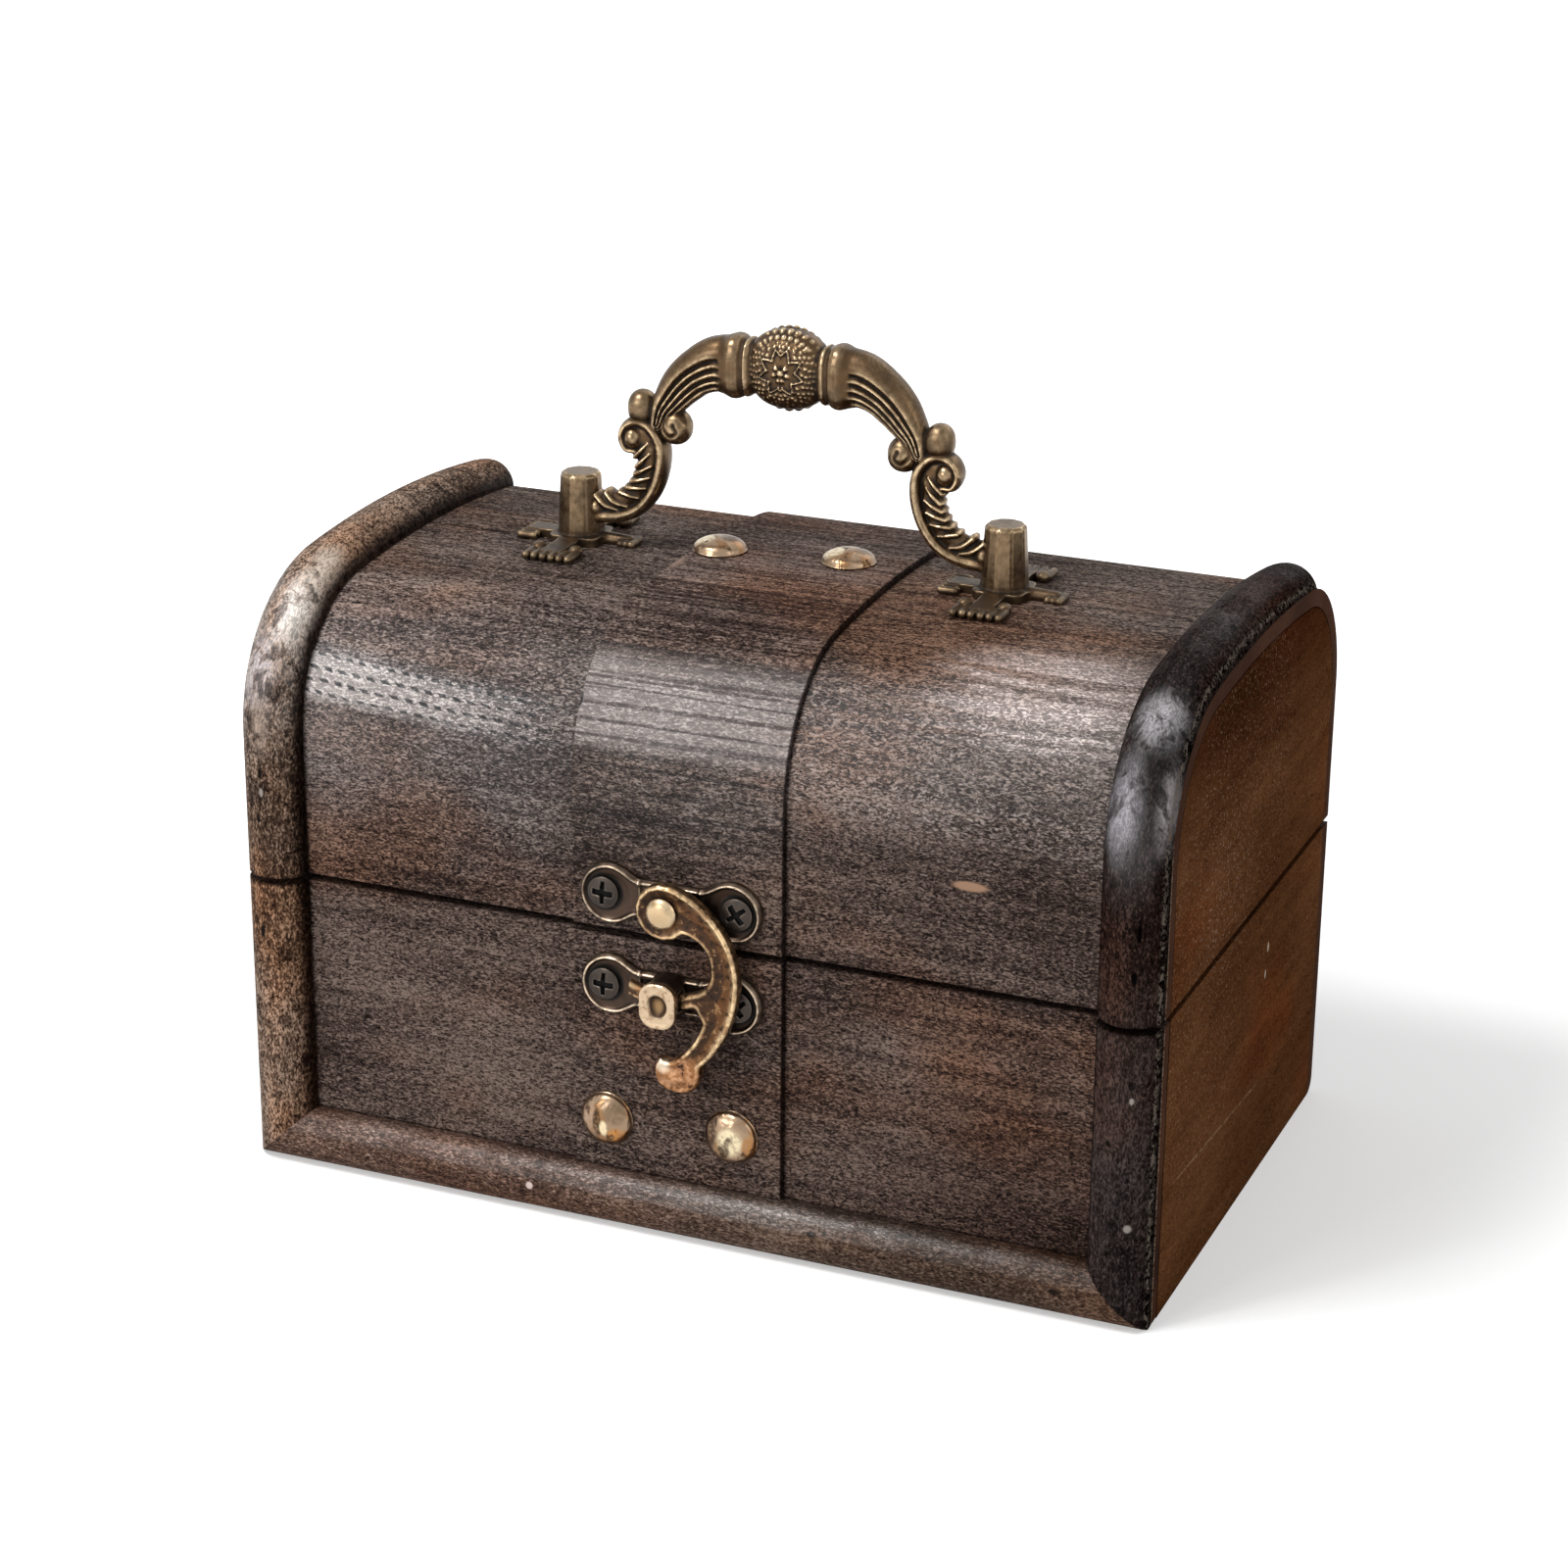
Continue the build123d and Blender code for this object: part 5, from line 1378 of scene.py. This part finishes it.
def latch_plates(metals):
    """Upper plate, and the keeper with its staple."""
    upper = Clay((-17, -2.6, -6.4), (17, 0.6, 6.4), 0.13)
    plate_form(upper)
    lower = Clay((-17, -7.6, -6.4), (17, 0.6, 6.4), 0.14)
    plate_form(lower)
    lower.add(staple_form, (-3.3, -7.2, -4.2), (3.3, 0, 4.2), 0.35)
    lower.cut(staple_slot, (-5, -5, -3), (5, -1.9, 3), 0.15)
    for name, clay, z, body, node in (
        ("upper_plate", upper, UPPER_PLATE_Z, "lid", "upper_latch_plate"),
        ("keeper_plate", lower, LOWER_PLATE_Z, "base", "lower_latch_plate"),
    ):
        piece = cast(name, clay.skin(), (LATCH_X, -STRAP_FACE, z), metals["plate"], 12, 0.6)
        darken_screw_seats(piece, z)
        if clay is lower:
            polish_staple(piece)
        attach(piece, body)
        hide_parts(node)


def blacken_cross(x, y, z, hollow, edge):
    """Darkens a screw's cross recess."""
    sunk = np.clip((y + 0.92) / 0.15, 0, 1) * (np.hypot(x, z) < 2.25)
    return np.maximum(hollow, sunk), edge * (1 - sunk)


def screw_shape():
    """A pan head with a cross recess, facing the front."""
    clay = Clay((-3.1, -1.9, -3.1), (3.1, 0.4, 3.1), 0.1)

    def head(x, y, z):
        r = np.hypot(x, z)
        return np.maximum(-y - (1.25 - 0.07 * r * r), np.maximum(r - 2.7, y)).astype(np.float32)

    clay.add(head, (-2.8, -1.5, -2.8), (2.8, 0, 2.8), 0.1)
    for wide, tall in ((1.95, 0.5), (0.5, 1.95)):
        def arm(x, y, z, wide=wide, tall=tall):
            walls = np.maximum(np.abs(x) - wide + 0.35 * (1.4 + y), np.abs(z) - tall)
            return np.maximum(walls, y + 0.35).astype(np.float32)

        clay.cut(arm, (-2.1, -1.6, -2.1), (2.1, 0, 2.1), 0.12)
    shape = cast("screw_shape", clay.skin(), (0, 0, 0), None, 6)
    repaint(shape, (0, 0, 0), blacken_cross)
    return shape


# Radius and height of each ring.
DOME_PROFILE = [
    (4.3, 0.0), (4.62, 0.12), (4.66, 0.34), (4.5, 0.52),
    *((4.5 * math.cos(math.radians(a)), 0.52 + 1.95 * math.sin(math.radians(a))) for a in range(9, 90, 9)),
    (0.05, 2.47),
]
RIVET_PROFILE = [(2.2, 4.4), (2.55, 4.55), (2.6, 4.8), (2.35, 5.25), (1.7, 5.6), (0.9, 5.78), (0.05, 5.82)]


def fittings(metals):
    """The latch screws, the dome nails and the rivet."""
    screw = screw_shape()
    for name, body, node, z in (
        ("upper_screws", "lid", "upper_latch_screws", UPPER_PLATE_Z + 0.1),
        ("lower_screws", "base", "lower_latch_screws", LOWER_PLATE_Z),
    ):
        spots = [((LATCH_X + side * PLATE_SCREW_X, -(STRAP_FACE + 0.8), z), (0, 28 + 25 * side, 0))
                 for side in (-1, 1)]
        piece = copies(name, screw, spots, metals["black"])
        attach(piece, body)
        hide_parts(node)
    dome = turned("dome_shape", DOME_PROFILE, 48)
    age(dome, 3)
    for name, body, node, spots in (
        ("base_domes", "base", "base_dome_nails",
         [((-13.9, -STRAP_FACE, 18.9), (0, 0, 0)), ((8.4, -STRAP_FACE, 19.8), (0, 40, 0))]),
        ("lid_domes", "lid", "lid_dome_nails",
         [((-15.3, 0.0, DOMES_Z), (-90, 0, 0)), ((7.1, 2.4, DOMES_Z), (-90, 0, 30))]),
    ):
        piece = copies(name, dome, spots, metals["dome"])
        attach(piece, body)
        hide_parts(node)
    bpy.data.objects.remove(screw)
    bpy.data.objects.remove(dome)
    rivet = turned("rivet", RIVET_PROFILE, 40, metals["rivet"])
    for vert in rivet.data.vertices:
        vert.co += Vector((LATCH_X, -STRAP_FACE, RIVET_Z)) * MM
    age(rivet, 2, 1.0, 0.25)
    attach(rivet, "lid")


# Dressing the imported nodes

FINISHES = {
    "board": ("base_front_panel", "base_back_panel", "lid_skin"),
    "strap": ("base_strap", "lid_strap"),
    "end": ("base_left_end", "base_right_end", "lid_left_end", "lid_right_end"),
    "bottom": ("base_bottom_moulding",),
    "left": ("base_left_moulding", "lid_left_moulding"),
    "right": ("base_right_moulding", "lid_right_moulding"),
    "bare": ("base_floor",),
    "brass": (
        "left_hinge_base_leaf", "right_hinge_base_leaf", "left_hinge_lid_leaf", "right_hinge_lid_leaf",
        "hinge_pins", "latch_rivet", "upper_latch_plate", "lower_latch_plate", "latch_hook",
        "handle_left_post", "handle_right_post", "carry_handle",
    ),
    "black": ("base_hinge_screws", "lid_hinge_screws", "upper_latch_screws", "lower_latch_screws"),
    "dome": ("base_dome_nails", "lid_dome_nails"),
    "steel": ("base_moulding_nails", "lid_moulding_nails", "handle_post_screws", "handle_post_washers"),
}


def dress_nodes(looks):
    """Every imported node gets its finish, also those that a finer piece replaces."""
    chosen = {node: looks[key] for key, nodes in FINISHES.items() for node in nodes}
    for name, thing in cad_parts.items():
        for slot in thing.material_slots:
            slot.material = chosen[name]


def soften_edges():
    """Rubbed corners on the boards and mouldings."""
    trim = [node for key in ("strap", "bottom", "left", "right") for node in FINISHES[key]]
    for node in ("base_front_panel", "base_back_panel", *trim):
        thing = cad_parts[node]
        weld = thing.modifiers.new("weld", "WELD")
        weld.merge_threshold = 0.01 * MM
        bevel = thing.modifiers.new("rubbed edges", "BEVEL")
        bevel.width = (0.3 if node in trim else 0.25) * MM
        bevel.segments = 2
        bevel.limit_method = "ANGLE"
        bevel.angle_limit = math.radians(40)


# Studio

# The photograph's camera: angles in degrees, the point it looks at in millimetres, the rest in metres.
CAMERA_AZIMUTH, CAMERA_ELEVATION, CAMERA_ROLL = 22.695, 20.752, 0.42
CAMERA_TARGET = (16.612, -47.6, 81.866)
CAMERA_DISTANCE = 0.579785
CAMERA_LENS = 85.2

# Softboxes: name, direction from the chest, distance, width and height in metres, power in watts.
SOFTBOXES = (
    ("key softbox", (-0.36, -0.4, 0.84), 0.9, 0.28, 0.24, 5.0),
    ("left softbox", (-0.42, -0.84, 0.36), 1.2, 0.45, 0.4, 4.2),
    ("right fill", (1.0, -0.25, 0.45), 1.2, 0.6, 0.6, 1.8),
    ("rear softbox", (0.3, 1.0, 0.8), 1.2, 0.8, 0.5, 1.4),
)
SKY_LIGHT = 0.4
FLOOR_HALF = 2500


def camera():
    scene = bpy.context.scene
    scene.view_settings.view_transform = "Standard"
    azimuth, elevation, roll = (math.radians(a) for a in (CAMERA_AZIMUTH, CAMERA_ELEVATION, CAMERA_ROLL))
    back = Vector((math.sin(azimuth) * math.cos(elevation), -math.cos(azimuth) * math.cos(elevation),
                   math.sin(elevation)))
    right = Vector((math.cos(azimuth), math.sin(azimuth), 0))
    up = back.cross(right)
    right, up = right * math.cos(roll) + up * math.sin(roll), up * math.cos(roll) - right * math.sin(roll)
    lens = bpy.data.cameras.new("camera")
    lens.lens = CAMERA_LENS
    lens.sensor_width = 36
    lens.clip_start = 0.01
    thing = bpy.data.objects.new("camera", lens)
    thing.matrix_world = Matrix((right, up, back)).transposed().to_4x4()
    thing.location = Vector(CAMERA_TARGET) * MM + back * CAMERA_DISTANCE
    scene.collection.objects.link(thing)
    scene.camera = thing


def softbox(name, towards, distance, width, height, power):
    lamp = bpy.data.lights.new(name, "AREA")
    lamp.shape = "RECTANGLE"
    lamp.size, lamp.size_y, lamp.energy = width, height, power
    thing = bpy.data.objects.new(name, lamp)
    direction = Vector(towards).normalized()
    thing.location = Vector((0, 0, 0.06)) + direction * distance
    thing.rotation_euler = direction.to_track_quat("Z", "Y").to_euler()
    bpy.context.scene.collection.objects.link(thing)


def background():
    """White where it is seen, and dimmer as a light on the chest."""
    world = bpy.data.worlds.new("studio")
    bpy.context.scene.world = world
    world.use_nodes = True
    sky = Recipe(world.node_tree)
    sky.tree.nodes.clear()
    dim, white = (sky.node("ShaderNodeBackground", {}, {0: (1, 1, 1, 1), 1: level})
                  for level in (SKY_LIGHT, 1.0))
    mixed = sky.node("ShaderNodeMixShader", {}, {0: sky.seen_rays(), 1: dim, 2: white})
    sky.node("ShaderNodeOutputWorld", {}, {0: mixed})


def pale_floor():
    """A floor that glows to white where it is seen, and more so away from the chest."""
    pale = Finish("pale_floor")
    away = pale.node("ShaderNodeVectorMath", {"operation": "LENGTH"}, {0: pale.place}, "Value")
    glow = pale.seen_rays() * away.between(0.1, 0.6, 0.34, 1.0)
    grey = pale.node("ShaderNodeCombineColor", {}, {0: glow, 1: glow, 2: glow})
    pale.done({"Base Color": (0.86, 0.86, 0.86, 1), "Roughness": 0.9, "Specular IOR Level": 0.0,
               "Emission Color": grey, "Emission Strength": 1.0})
    corners = [(a * FLOOR_HALF, b * FLOOR_HALF, 0) for a, b in ((-1, -1), (1, -1), (1, 1), (-1, 1))]
    floor = blank("floor", corners, [(0, 1, 2, 3)], pale.material)


def studio():
    camera()
    for box in SOFTBOXES:
        softbox(*box)
    background()
    pale_floor()


woods = make_woods()
metals = make_metals()
dress_nodes({**woods, **metals})
soften_edges()
handle = carry_handle(metals)
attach(handle, "handle")
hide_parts("carry_handle")
handle_posts(metals)
latch_hook(metals)
latch_plates(metals)
fittings(metals)
studio()
